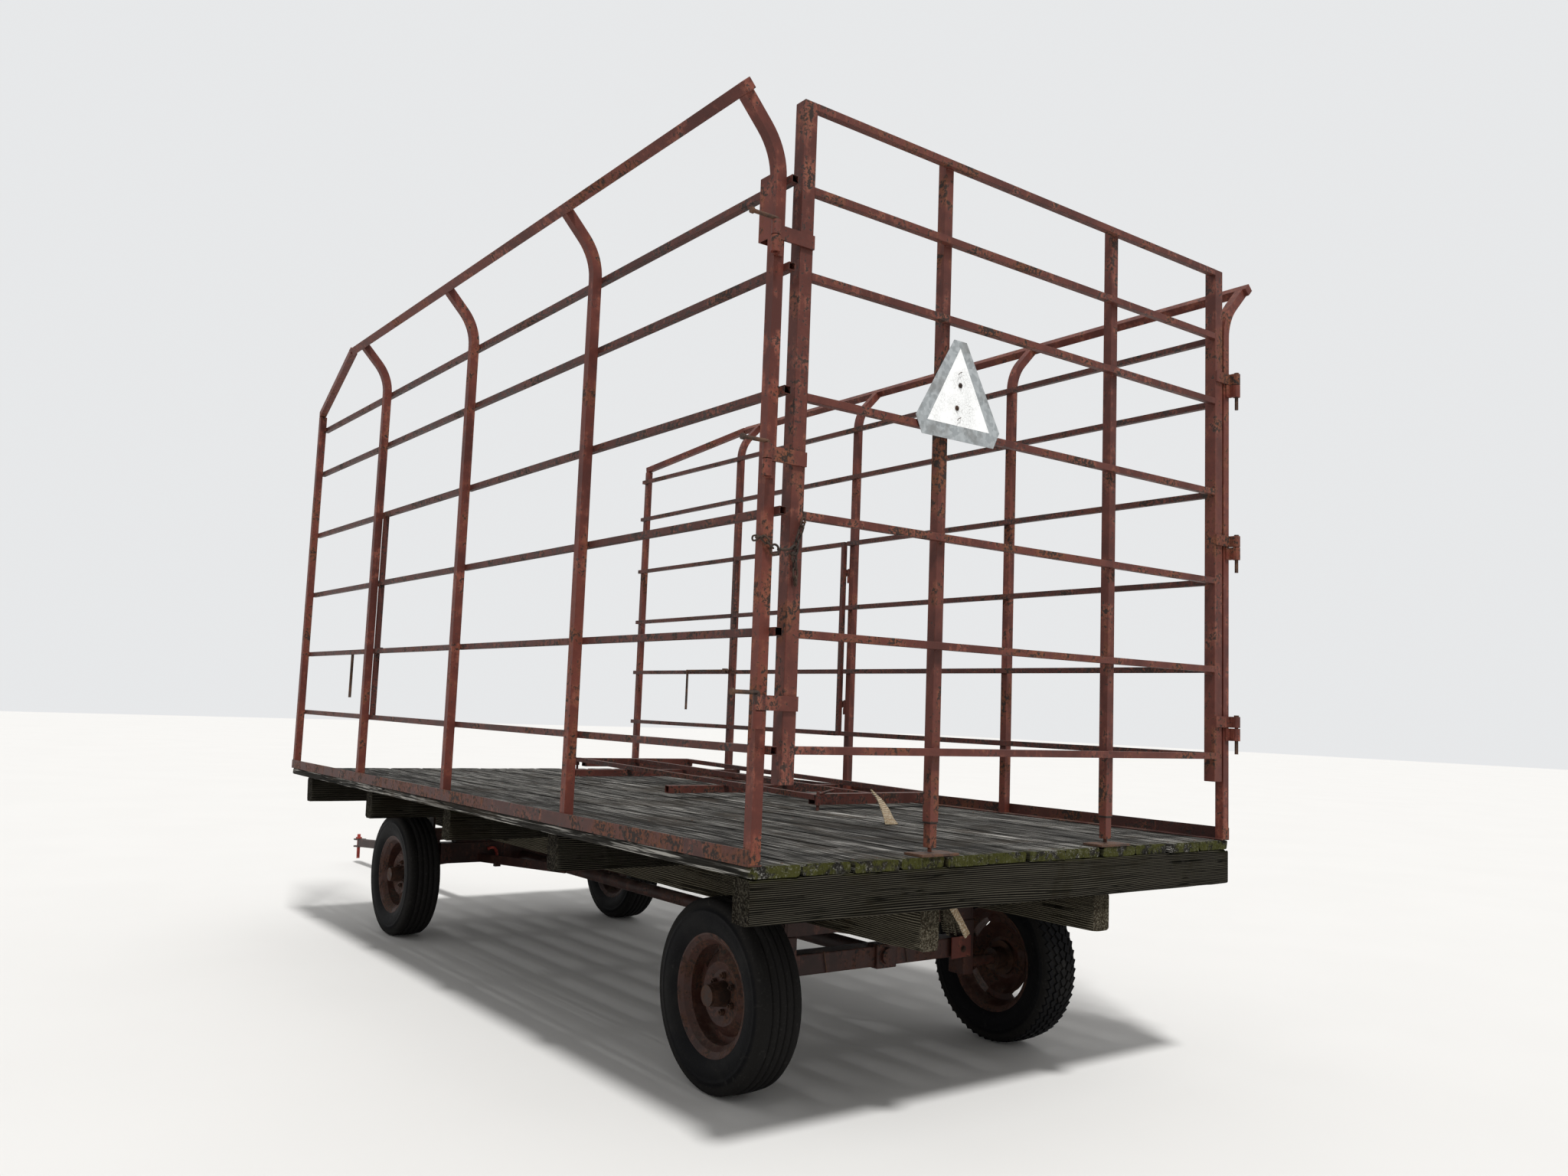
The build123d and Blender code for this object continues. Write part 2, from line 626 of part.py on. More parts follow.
for name, side in left_and_right:
    front_plates.append(bar(front_axle_x - bolster_wide / 2, front_axle_x + bolster_wide / 2,
                            side * front_bolster_half, side * (front_bolster_half + stake_thick),
                            front_bolster_bottom, stringer_bottom + stake_rise))

nose_bottom = front_beam_bottom
nose = bar(front_axle_x + beam_wide / 2, swivel_x, -60, 60, nose_bottom, nose_bottom + 60)
nose = nose + Pos(swivel_x, 0, nose_bottom + 30) * Cylinder(60, 60)

# Steering knuckles, a yoke round each kingpin barrel
knuckle_pieces = {}
for name, side in left_and_right:
    y = side * kingpin_half
    back = side * (kingpin_half + kingpin_barrel + 8)
    top_z = front_beam_top + yoke_gap
    low_z = front_beam_bottom - yoke_gap
    upper = Pos(front_axle_x, y, top_z + yoke_plate / 2) * Cylinder(32, yoke_plate)
    upper = upper + bar(front_axle_x - 32, front_axle_x + 32, y, back, top_z, top_z + yoke_plate)
    lower = Pos(front_axle_x, y, low_z - yoke_plate / 2) * Cylinder(32, yoke_plate)
    lower = lower + bar(front_axle_x - 32, front_axle_x + 32, y, back, low_z - yoke_plate, low_z)
    plate = bar(front_axle_x - 32, front_axle_x + 32, back, back + side * 18, axle_z - 42,
                top_z + yoke_plate)
    spindle = rod((front_axle_x, back, axle_z), (front_axle_x, side * (track_half + hub_boss), axle_z),
                  spindle_radius)
    arm_end = (front_axle_x + steer_arm, y, low_z - yoke_plate / 2)
    arm = square_bar((front_axle_x + 20, y, low_z - yoke_plate / 2), arm_end, 40, yoke_plate)
    arm = arm + Pos(*arm_end) * Cylinder(20, yoke_plate)
    rod_z = tie_rod_heights[0] if side > 0 else tie_rod_heights[1]
    ball = rod((arm_end[0], y, rod_z - 16), (arm_end[0], y, low_z - 2), tie_rod_pin)
    knuckle_pieces[name] = [upper + lower + plate + spindle + arm + ball]

# Tie rods keep parallel to themselves, from each knuckle's arm to the swivel
rods = {}
for name, side in left_and_right:
    rod_z = tie_rod_heights[0] if side > 0 else tie_rod_heights[1]
    outer = (front_axle_x + steer_arm, side * kingpin_half, rod_z)
    inner = (swivel_x + steer_arm, 0, rod_z)
    shaft = rod(outer, inner, tie_rod_radius)
    for place in (outer, inner):
        shaft = shaft + Pos(*place) * Cylinder(tie_rod_eye, 22)
    for place in (outer, inner):
        shaft = shaft - Pos(*place) * Cylinder(tie_rod_pin + 0.5, 60)
    rods[name] = [shaft]

# Swivel plate under the nose, with the tongue's hinge ears at its front
swivel_top = nose_bottom - yoke_gap
ear_inner = tongue_outer / 2 + 4
ear_outer = ear_inner + 12
plate_end = hinge_x - 60
swivel = bar(swivel_x, plate_end, -ear_outer, ear_outer, swivel_top - 20, swivel_top)
swivel = swivel + Pos(swivel_x, 0, swivel_top - 10) * Cylinder(60, 20)
swivel = swivel + Pos(swivel_x, 0, swivel_top + 40) * Cylinder(20, 90)
for side in (1, -1):
    ear = bar(plate_end - 20, hinge_x + 24, side * ear_inner, side * ear_outer,
              tongue_hinge_height - 30, swivel_top)
    swivel = swivel + ear
swivel = swivel + rod((swivel_x + steer_arm, 0, tie_rod_heights[1] - 16),
                      (swivel_x + steer_arm, 0, swivel_top - 2), tie_rod_pin)
nose = nose - Pos(swivel_x, 0, nose_bottom + 30) * Cylinder(20.4, 100)

# Tongue, hinged on the swivel and sloping down to its clevis
tongue_angle = math.atan2(tongue_tip_height - tongue_hinge_height, tongue_tip_x - hinge_x)
tongue_run = math.hypot(tongue_tip_x - hinge_x, tongue_tip_height - tongue_hinge_height)
tongue_frame = Pos(hinge_x, 0, tongue_hinge_height) * Rot(0, -math.degrees(tongue_angle), 0)
outer_length = tongue_run * 0.55
tongue_tube = bar(58, outer_length, -tongue_outer / 2, tongue_outer / 2, -tongue_outer / 2,
                  tongue_outer / 2)
tongue_tube = tongue_tube + bar(0, 60, -38, 38, -16, 16) + rod((0, -38, 0), (0, 38, 0), 16)
collar_half = tongue_outer / 2 + collar_thick
tongue_tube = tongue_tube + bar(outer_length - collar_length, outer_length, -collar_half, collar_half,
                                -collar_half, collar_half)
tongue_slide = bar(outer_length, tongue_run - 70, -tongue_inner / 2, tongue_inner / 2,
                   -tongue_inner / 2, tongue_inner / 2)
clevis = bar(tongue_run - 90, tongue_run + tongue_nose - 32, -32, 32, 22, 34)
clevis = clevis + bar(tongue_run - 90, tongue_run + tongue_nose - 32, -32, 32, -34, -22)
clevis = clevis + rod((tongue_run + tongue_nose - 34, 0, 22), (tongue_run + tongue_nose - 34, 0, 34), 32)
clevis = clevis + rod((tongue_run + tongue_nose - 34, 0, -34), (tongue_run + tongue_nose - 34, 0, -22), 32)
clevis = clevis - rod((tongue_run, 0, -60), (tongue_run, 0, 60), hitch_bore / 2)
tongue = [tongue_frame * tongue_tube, tongue_frame * (tongue_slide + clevis)]
pivot_bolt = rod((hinge_x, -60, tongue_hinge_height), (hinge_x, 60, tongue_hinge_height), 9)
tongue[0] = tongue[0] - rod((hinge_x, -60, tongue_hinge_height),
                            (hinge_x, 60, tongue_hinge_height), 9.4)
swivel = swivel + pivot_bolt

# Hitch pin standing in the clevis
hitch = tongue_frame * (rod((tongue_run, 0, -125), (tongue_run, 0, -hitch_step), hitch_pin / 2)
                        + rod((tongue_run, 0, -hitch_step), (tongue_run, 0, 70), hitch_shoulder / 2)
                        + rod((tongue_run, 0, 34.5), (tongue_run, 0, 46), 24))

# Wheels
wheels = {}
for place, x in (("rear", rear_axle_x), ("front", front_axle_x)):
    for name, side in left_and_right:
        spot = Pos(x, side * track_half, axle_z) * Rot(-90 * side, 0, 0)
        half = tyre_width / 2
        flange = rim_width / 2
        seat = rim_radius - 18
        section = [(seat, 12 - flange), (tyre_radius - 68, -half), (tyre_radius - 22, -half * 0.94),
                   (tyre_radius, -half * 0.72), (tyre_radius, half * 0.72),
                   (tyre_radius - 22, half * 0.94), (tyre_radius - 68, half), (seat, flange - 12)]
        tyre = revolve(Plane.XZ * Polygon(*section, align=None), Axis.Z)
        rim_inside = [(rim_radius - rim_thick, flange), (seat - rim_thick, flange - 12),
                      (well_radius - rim_thick, flange - 36), (well_radius - rim_thick, -22),
                      (seat - rim_thick, 12 - flange), (rim_radius - rim_thick, -flange)]
        rim_outside = [(radius + rim_thick, across) for radius, across in reversed(rim_inside)]
        rim = revolve(Plane.XZ * Polygon(*rim_inside, *rim_outside, align=None), Axis.Z)
        disc_rim = well_radius - rim_thick
        disc_section = [(47, 8), (88, 8), (114, 22), (disc_flat + 4, -10), (disc_rim, -10),
                        (disc_rim, -2), (disc_flat + 6, -2), (114, 30), (86, 16), (47, 16)]
        disc = revolve(Plane.XZ * Polygon(*disc_section, align=None), Axis.Z)
        for turn in (45, 135, 225, 315):
            slot = Rot(0, 0, turn) * Pos(well_radius, 0, 0) * Box(2 * (well_radius - disc_flat), 110, 60)
            disc -= slot - Cylinder(disc_flat + 4, 60)
        hub_section = [(spindle_radius + 0.5, -70), (46, -70), (46, -8), (72, -8), (72, 8),
                       (46, 8), (46, 24), (40, 78), (spindle_radius + 0.5, 78)]
        hub = revolve(Plane.XZ * Polygon(*hub_section, align=None), Axis.Z)
        cap = Pos(0, 0, 84) * Cylinder(38, 14)
        wheels[place + "_" + name] = (spot * tyre, spot * (rim + disc), spot * (hub + cap))

# Write every piece
total = 0.0
total += write("deck_planks", planks)
total += write("cross_sills", sills)
total += write("stringers", stringers)
total += write("edge_angles", angles)
total += write("left_posts", posts_left)
total += write("right_posts", posts_right)
total += write("left_side_rails", rails_left)
total += write("right_side_rails", rails_right)
total += write("top_rails", top_rails)
total += write("post_knuckles", knuckles)
total += write("deck_plates", deck_plates)
total += write("door_sockets", door_sockets)
total += write("latch_rods", latch_rods)
total += write("loose_panel", loose_panel)
total += write("rear_axle", [rear_beam])
total += write("rear_bolster", [rear_bolster] + rear_plates)
total += write("reach_pole", [reach])
total += write("reach_braces", braces)
total += write("front_axle", [front_beam + nose])
total += write("front_bolster", [front_bolster] + front_plates)
total += write("gate_stiles", stiles)
total += write("gate_rails", gate_rails)
total += write("gate_uprights", uprights)
total += write("gate_stubs", stubs)
total += write("gate_straps", straps)
total += write("gate_pins", pins)
total += write("gate_sign", [sign + sign_clip])
total += write("gate_chain", chain)
for name, side in left_and_right:
    total += write(name + "_door", doors[name])
    total += write(name + "_door_eyes", door_eyes[name])
    total += write(name + "_knuckle", knuckle_pieces[name])
    total += write(name + "_tie_rod", rods[name])
total += write("tongue_swivel", [swivel])
total += write("tongue", tongue)
total += write("hitch_pin", [hitch])
for name, parts in wheels.items():
    total += write(name + "_tyre", [parts[0]])
    total += write(name + "_rim", [parts[1]])
    total += write(name + "_hub", [parts[2]])

# Places that the record needs, in metres
print("total volume", round(total, 4), "m3")
places = {
    "gate_hinge": (-hinge_back, -hinge_side, deck_top + hinge_heights[1]),
    "left_door_hinge": (door_hinge_x, door_hinge_y, deck_top + door_hinges[0]),
    "right_door_hinge": (door_hinge_x, -door_hinge_y, deck_top + door_hinges[0]),
    "rear_left_wheel": (rear_axle_x, track_half, axle_z),
    "rear_right_wheel": (rear_axle_x, -track_half, axle_z),
    "front_left_wheel": (front_axle_x, track_half, axle_z),
    "front_right_wheel": (front_axle_x, -track_half, axle_z),
    "left_kingpin": (front_axle_x, kingpin_half, (front_beam_bottom + front_beam_top) / 2),
    "right_kingpin": (front_axle_x, -kingpin_half, (front_beam_bottom + front_beam_top) / 2),
    "left_rod_end": (front_axle_x + steer_arm, kingpin_half, tie_rod_heights[0]),
    "right_rod_end": (front_axle_x + steer_arm, -kingpin_half, tie_rod_heights[1]),
    "tongue_swivel": (swivel_x, 0, swivel_top),
    "tongue_hinge": (hinge_x, 0, tongue_hinge_height),
    "hitch_pin": (tongue_tip_x, 0, tongue_tip_height),
    "deck_middle": (deck_length / 2, 0, deck_top),
}
for name, point in places.items():
    print("place", name, round((point[0] - middle) / 1000, 5), round(point[1] / 1000, 5),
          round(point[2] / 1000, 5))
print("middle", middle)
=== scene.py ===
import bpy
import bmesh
import math
import random
from mathutils import Matrix, Vector, noise


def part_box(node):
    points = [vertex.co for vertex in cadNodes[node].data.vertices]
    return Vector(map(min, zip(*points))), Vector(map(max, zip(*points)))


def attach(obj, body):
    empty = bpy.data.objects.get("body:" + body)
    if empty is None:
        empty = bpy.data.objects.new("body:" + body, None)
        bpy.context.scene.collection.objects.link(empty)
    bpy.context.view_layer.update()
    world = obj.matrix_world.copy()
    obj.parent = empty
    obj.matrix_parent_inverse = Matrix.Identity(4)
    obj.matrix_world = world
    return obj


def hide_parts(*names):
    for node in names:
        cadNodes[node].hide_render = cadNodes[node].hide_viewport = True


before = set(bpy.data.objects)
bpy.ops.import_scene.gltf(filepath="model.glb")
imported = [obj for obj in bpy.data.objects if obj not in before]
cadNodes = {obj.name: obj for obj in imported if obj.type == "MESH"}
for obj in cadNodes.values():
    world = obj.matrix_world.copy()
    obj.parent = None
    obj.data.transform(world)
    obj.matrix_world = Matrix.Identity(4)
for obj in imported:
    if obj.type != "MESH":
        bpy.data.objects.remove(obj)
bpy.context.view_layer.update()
print("loaded", len(cadNodes), "solid nodes")


# Camera, lamps and floor

cameraView = {
    "place": (-6.645, 3.354, 1.393),  # metres, a low stand behind the left rear corner
    "yaw": -36.64,  # degrees from the wagon's forward direction, to its right
    "pitch": 5.74,
    "roll": 2.155,
    "lens": 27.89,  # millimetres
    "sensor": 36.0,  # width of the picture behind the lens, in millimetres
    "sight": 300.0,  # metres, past which nothing is drawn
}
studio = {
    "fill": 0.55,  # level of the even light from all round
    "backdrop": (0.80, 0.81, 0.82),  # what the camera sees behind the wagon
    "floor": (0.70, 0.69, 0.67),
    "sunStrength": 2.9,
    "sunFrom": (-0.46, 0.20, 0.95),  # high, behind and a little to the left, as the deck's shadow says
    "sunSoftness": 8.0,  # degrees
    "floorHalf": 60.0,  # metres from the middle to the floor's edge
}


def aimCamera(values):
    yaw, pitch, roll = (math.radians(values[key]) for key in ("yaw", "pitch", "roll"))
    ahead = Vector((math.cos(pitch) * math.cos(yaw), math.cos(pitch) * math.sin(yaw), math.sin(pitch)))
    right = Vector((math.sin(yaw), -math.cos(yaw), 0.0))
    up = right.cross(ahead)
    turnedRight = right * math.cos(roll) + up * math.sin(roll)
    turnedUp = up * math.cos(roll) - right * math.sin(roll)
    turn = Matrix((turnedRight, turnedUp, -ahead)).transposed().to_4x4()
    lens = bpy.data.cameras.new("camera")
    lens.sensor_width = values["sensor"]
    lens.sensor_fit = "HORIZONTAL"
    lens.lens = values["lens"]
    lens.clip_end = values["sight"]
    camera = bpy.data.objects.new("camera", lens)
    bpy.context.scene.collection.objects.link(camera)
    camera.matrix_world = Matrix.Translation(values["place"]) @ turn
    bpy.context.scene.camera = camera


# Node boards: a wire is a socket with the operators that sums need, a board adds the nodes


class Wire:
    def __init__(self, board, socket):
        self.board = board
        self.socket = socket

    def sum(self, operation, first, second):
        return self.board.node("ShaderNodeMath", {"operation": operation}, {0: first, 1: second})

    def __add__(self, other):
        return self.sum("ADD", self, other)

    __radd__ = __add__

    def __sub__(self, other):
        return self.sum("SUBTRACT", self, other)

    def __rsub__(self, other):
        return self.sum("SUBTRACT", other, self)

    def __mul__(self, other):
        return self.sum("MULTIPLY", self, other)

    __rmul__ = __mul__

    def __truediv__(self, other):
        return self.sum("DIVIDE", self, other)

    def __abs__(self):
        return self.sum("ABSOLUTE", self, 0.0)

    def most(self, other):
        return self.sum("MAXIMUM", self, other)

    def floor(self):
        return self.sum("FLOOR", self, 0.0)

    def fade(self, low, high, lowValue=0.0, highValue=1.0):
        # a soft step from one value to the other
        return self.board.node("ShaderNodeMapRange", {"interpolation_type": "SMOOTHSTEP"}, {
            "Value": self, "From Min": low, "From Max": high, "To Min": lowValue, "To Max": highValue})


class Board:
    def __init__(self, tree):
        self.tree = tree
        tree.nodes.clear()

    def node(self, kind, settings=None, inputs=None, output=0):
        made = self.tree.nodes.new(kind)
        for key, value in (settings or {}).items():
            setattr(made, key, value)
        for key, value in (inputs or {}).items():
            if isinstance(value, Wire):
                self.tree.links.new(value.socket, made.inputs[key])
            else:
                made.inputs[key].default_value = value
        return Wire(self, made.outputs[output]) if len(made.outputs) else made

    def split(self, vector):
        parts = self.node("ShaderNodeSeparateXYZ", None, {0: vector})
        return [Wire(self, socket) for socket in parts.socket.node.outputs]

    def stretch(self, vector, scale, turn=(0, 0, 0), place=(0, 0, 0)):
        return self.node("ShaderNodeMapping", None,
                         {"Vector": vector, "Scale": scale, "Rotation": turn, "Location": place})

    def cloud(self, vector, scale, detail=3.0, rough=0.6, twist=0.0):
        return self.node("ShaderNodeTexNoise", None, {
            "Vector": vector, "Scale": scale, "Detail": detail, "Roughness": rough, "Distortion": twist})

    def fibres(self, vector, scales, detail, rough=0.6, twist=0.0):
        # a cloud drawn out by a scale for each direction
        return self.cloud(self.stretch(vector, scales), 1.0, detail, rough, twist)

    def blend(self, amount, first, second):
        return self.node("ShaderNodeMix", {"data_type": "RGBA"}, {0: amount, 6: first, 7: second}, 2)

    def coats(self, tone, *layers):
        # colours laid over a first one, each by its own amount
        for amount, colour in layers:
            tone = self.blend(amount, tone, colour)
        return tone

    def turn(self, first, angles):
        # a rotation followed by another about its own axes
        extra = self.node("FunctionNodeEulerToRotation", None, {0: angles})
        return self.node("FunctionNodeRotateRotation", {"rotation_space": "LOCAL"}, {
            "Rotation": first, "Rotate By": extra})

    def chance(self, low, high, seed):
        # a number drawn anew for each point
        return self.node("FunctionNodeRandomValue", {"data_type": "FLOAT"}, {
            2: low, 3: high, "Seed": seed}, 1)

    def scatter(self, points, shape, rotation):
        return self.node("GeometryNodeInstanceOnPoints", None, {
            "Points": points, "Instance": shape, "Rotation": rotation})

    def close(self, colour, roughness, height=None, lift=0.0, metallic=0.0, shine=0.3):
        # the shader itself, with a bump that stands up by the given lift in metres
        sockets = {"Base Color": colour, "Roughness": roughness, "Metallic": metallic,
                   "Specular IOR Level": shine}
        if height is not None:
            sockets["Normal"] = self.node("ShaderNodeBump", None, {
                "Height": height, "Distance": lift, "Strength": 1.0})
        shader = self.node("ShaderNodeBsdfPrincipled", None, sockets)
        self.node("ShaderNodeOutputMaterial", None, {"Surface": shader})


def newFinish(name):
    material = bpy.data.materials.new(name)
    material.use_nodes = True
    board = Board(material.node_tree)
    spot = board.node("ShaderNodeTexCoord", None, None, "Object")
    return material, board, spot


def facing(board):
    # how far a face points along X, along Y and up
    normal = board.node("ShaderNodeTexCoord", None, None, "Normal")
    return board.split(normal)


# Finishes: colours are linear red, green and blue


paints = {
    "post_paint": {
        "deep": (0.062, 0.014, 0.009, 1), "main": (0.138, 0.032, 0.020, 1),
        "faded": (0.230, 0.070, 0.044, 1), "rust": (0.150, 0.050, 0.020, 1),
        "chip": (0.022, 0.013, 0.010, 1), "rustFrom": 0.55, "chipFrom": 0.61, "scale": 1.0, "dust": 0.14},
    "angle_paint": {
        "deep": (0.038, 0.011, 0.008, 1), "main": (0.086, 0.024, 0.016, 1),
        "faded": (0.165, 0.058, 0.038, 1), "rust": (0.120, 0.044, 0.020, 1),
        "chip": (0.018, 0.012, 0.010, 1), "rustFrom": 0.52, "chipFrom": 0.57, "scale": 1.1, "dust": 0.30},
    "rail_paint": {
        "deep": (0.045, 0.012, 0.008, 1), "main": (0.096, 0.025, 0.017, 1),
        "faded": (0.175, 0.058, 0.037, 1), "rust": (0.105, 0.040, 0.018, 1),
        "chip": (0.018, 0.012, 0.010, 1), "rustFrom": 0.55, "chipFrom": 0.56, "scale": 1.3, "dust": 0.18},
    "gate_paint": {  # its last number is the height over ground where the uprights' sleeves end, where a dark band of painted shadow is laid
        "deep": (0.060, 0.015, 0.010, 1), "main": (0.128, 0.034, 0.023, 1),
        "faded": (0.225, 0.074, 0.048, 1), "rust": (0.145, 0.052, 0.022, 1),
        "chip": (0.022, 0.014, 0.011, 1), "rustFrom": 0.54, "chipFrom": 0.59, "scale": 1.1, "dust": 0.18,
        "paintedShadeLine": 1.0335},
    # the gear's dark red paint, darkened further as painted shade for the shade under the deck
    "gear_paint": {
        "deep": (0.018, 0.006, 0.004, 1), "main": (0.045, 0.014, 0.009, 1),
        "faded": (0.085, 0.030, 0.020, 1), "rust": (0.075, 0.030, 0.014, 1),
        "chip": (0.010, 0.008, 0.007, 1), "rustFrom": 0.55, "chipFrom": 0.60, "scale": 1.0, "dust": 0.22},
    # the rims' dark red paint, darkened past its own tone as painted shade
    "rim_paint": {
        "deep": (0.024, 0.008, 0.005, 1), "main": (0.055, 0.018, 0.012, 1),
        "faded": (0.090, 0.034, 0.022, 1), "rust": (0.060, 0.024, 0.011, 1),
        "chip": (0.016, 0.010, 0.008, 1), "rustFrom": 0.52, "chipFrom": 0.60, "scale": 2.2, "dust": 0.22},
    "pin_paint": {
        "deep": (0.210, 0.020, 0.014, 1), "main": (0.380, 0.045, 0.028, 1),
        "faded": (0.450, 0.110, 0.080, 1), "rust": (0.200, 0.080, 0.035, 1),
        "chip": (0.050, 0.035, 0.028, 1), "rustFrom": 0.60, "chipFrom": 0.63, "scale": 6.0, "dust": 0.2},
}
dustColour = (0.150, 0.132, 0.108, 1)


def oldPaint(name, values):
    # faded red paint that rusts in patches and runs, with chips down to dark steel
    material, board, spot = newFinish(name)
    size = values["scale"]
    broad = board.cloud(spot, 1.9 * size, 4.0, 0.62, 0.4)
    middle = board.cloud(spot, 9.0 * size, 5.0, 0.65)
    fine = board.cloud(spot, 70.0, 4.0, 0.7)
    grit = board.cloud(spot, 420.0, 2.0, 0.6)
    runs = board.fibres(spot, (46.0, 46.0, 2.2), 3.0, 0.6)
    rustField = broad * 0.34 + middle * 0.36 + fine * 0.18 + runs * 0.12
    rust = rustField.fade(values["rustFrom"] - 0.045, values["rustFrom"] + 0.035)
    rustTone = board.blend(fine.fade(0.4, 0.62), values["rust"], values["chip"])
    chipField = middle * 0.45 + fine * 0.55
    chip = chipField.fade(values["chipFrom"] - 0.05, values["chipFrom"] - 0.02)
    dust = facing(board)[2].fade(0.2, 0.95) * middle.fade(0.35, 0.65) * values["dust"]
    base = board.blend((broad * 0.6 + middle * 0.4).fade(0.36, 0.62), values["deep"], values["main"])
    layers = [
        ((middle * 0.7 + runs * 0.3).fade(0.50, 0.62) * 0.85, values["faded"]),
        (rust * 0.9, board.blend(rust, values["rust"], rustTone)),
        (chip * 0.9, values["chip"]),
    ]
    # at the height where the uprights' sleeves end, a thin dark band of painted shadow stands for the shade
    # under the step to the stub
    if "paintedShadeLine" in values:
        height = board.split(spot)[2]
        layers.append((abs(height - values["paintedShadeLine"]).fade(0.0025, 0.0050, 1.0, 0.0), values["chip"]))
    tone = board.coats(base, *layers, (dust, dustColour))
    rough = 0.56 + rust * 0.28 + dust * 0.25 - chip * 0.05
    bump = fine * 0.25 + grit * rust * 0.35 + rust * 0.5 - chip * 0.55
    board.close(tone, rough, bump, 0.0009)
    return material


# the crack colour also serves as painted shade in the gaps between boards
oldWood = {
    "dark": (0.012, 0.011, 0.009, 1), "grey": (0.044, 0.041, 0.036, 1), "pale": (0.460, 0.445, 0.410, 1),
    "brown": (0.040, 0.030, 0.020, 1), "crack": (0.003, 0.003, 0.002, 1), "moss": (0.056, 0.058, 0.010, 1),
}
# the sills' timber: the old wood's own dark tone, darkened further as painted shade
shadedBeamTones = {
    "dark": (0.0035, 0.003, 0.0025, 1), "grey": (0.019, 0.0165, 0.012, 1), "pale": (0.066, 0.060, 0.046, 1),
    "brown": (0.013, 0.009, 0.006, 1), "crack": (0.002, 0.002, 0.0015, 1), "moss": (0.034, 0.035, 0.010, 1),
}
stringerTones = {
    "dark": (0.018, 0.015, 0.010, 1), "grey": (0.055, 0.048, 0.034, 1), "pale": (0.150, 0.135, 0.100, 1),
    "brown": (0.040, 0.029, 0.018, 1), "crack": (0.005, 0.004, 0.003, 1), "moss": (0.045, 0.046, 0.014, 1),
}


def plankWood(name, values, pitch, first, rearEnd):
    # grey weathered boards along X, each with its own tone, mossy at the rear end
    material, board, spot = newFinish(name)
    x, y, z = board.split(spot)
    number = ((y - first) / pitch).floor()
    chance = board.node("ShaderNodeTexWhiteNoise", {"noise_dimensions": "1D"}, {"W": number})
    shifted = board.node("ShaderNodeCombineXYZ", None, {0: x + chance * 17.0, 1: y + chance * 3.0, 2: z})
    sideX, up = facing(board)[::2]
    fromMiddle = abs((y - first) / pitch - number - 0.5)  # 0 in a board's middle, 0.5 at its sides
    fibre = board.fibres(shifted, (5.0, 240.0, 240.0), 3.0, 0.65)
    thin = board.fibres(shifted, (2.4, 92.0, 92.0), 3.0, 0.66, 0.3)
    grain = board.node("ShaderNodeTexWave", {"bands_direction": "Y", "wave_profile": "SAW"}, {
        "Vector": board.stretch(shifted, (0.35, 1.0, 1.0)), "Scale": 16.0, "Distortion": 9.0,
        "Detail": 3.0, "Detail Scale": 0.7, "Detail Roughness": 0.6}, 1)
    streak = board.fibres(shifted, (1.3, 30.0, 30.0), 4.0, 0.62, 0.6)
    stain = board.cloud(spot, 2.6, 4.0, 0.6, 0.5)
    split = board.fibres(shifted, (0.9, 58.0, 20.0), 2.0, 0.5, 0.2)
    crack = abs(split - 0.5).fade(0.006, 0.020, 1.0, 0.0) * stain.fade(0.40, 0.54)
    knots = board.node("ShaderNodeTexVoronoi", {"feature": "F1"}, {
        "Vector": board.stretch(shifted, (1.7, 5.2, 1.0)), "Scale": 1.0, "Randomness": 1.0})
    knot = knots.fade(0.05, 0.12, 1.0, 0.0)
    # dark bands along each board's sides on its top are painted shade of the gaps between the boards
    paintedShadeLine = (fromMiddle + (thin - 0.5) * 0.12).fade(0.425, 0.466) * up.fade(0.3, 0.7)
    rag = board.cloud(spot, 14.0, 4.0, 0.7)
    end = (x - rearEnd + rag * 0.35 - 0.11).fade(0.0, 0.16, 1.0, 0.0)
    edge = abs(sideX).fade(0.4, 0.8)
    rear = (0.0 - sideX).fade(0.4, 0.8)
    ringed = board.fibres(spot, (40.0, 60.0, 190.0), 3.0)
    moss = end.most(rear * 0.9) * rag.fade(0.40, 0.52)
    tone = board.coats(
        board.blend((streak * 0.35 + fibre * 0.65).fade(0.42, 0.58), values["dark"], values["grey"]),
        ((thin * 0.50 + streak * 0.20 + fibre * 0.30).fade(0.505, 0.580), values["pale"]),
        (stain.fade(0.50, 0.64) * 0.6, values["brown"]),
        (chance.fade(0.1, 0.9) * 0.5, values["dark"]),
        (knot * 0.8, values["brown"]),
        (paintedShadeLine, values["crack"]),
        (crack, values["crack"]),
        (edge * (0.5 + ringed.fade(0.45, 0.60) * 0.4), values["dark"]),
        (moss * 0.7, values["moss"]),
        # a dark line at each board's sides on its rear end face is painted shade of the gaps
        (rear * fromMiddle.fade(0.462, 0.486), values["crack"]))
    rough = 0.86 + moss * 0.1 - streak * 0.08
    height = thin * 0.35 + fibre * 0.25 + grain * 0.2 - crack - knot * 0.2 + moss * 0.3
    board.close(tone, rough, height, 0.0034, shine=0.08)
    return material


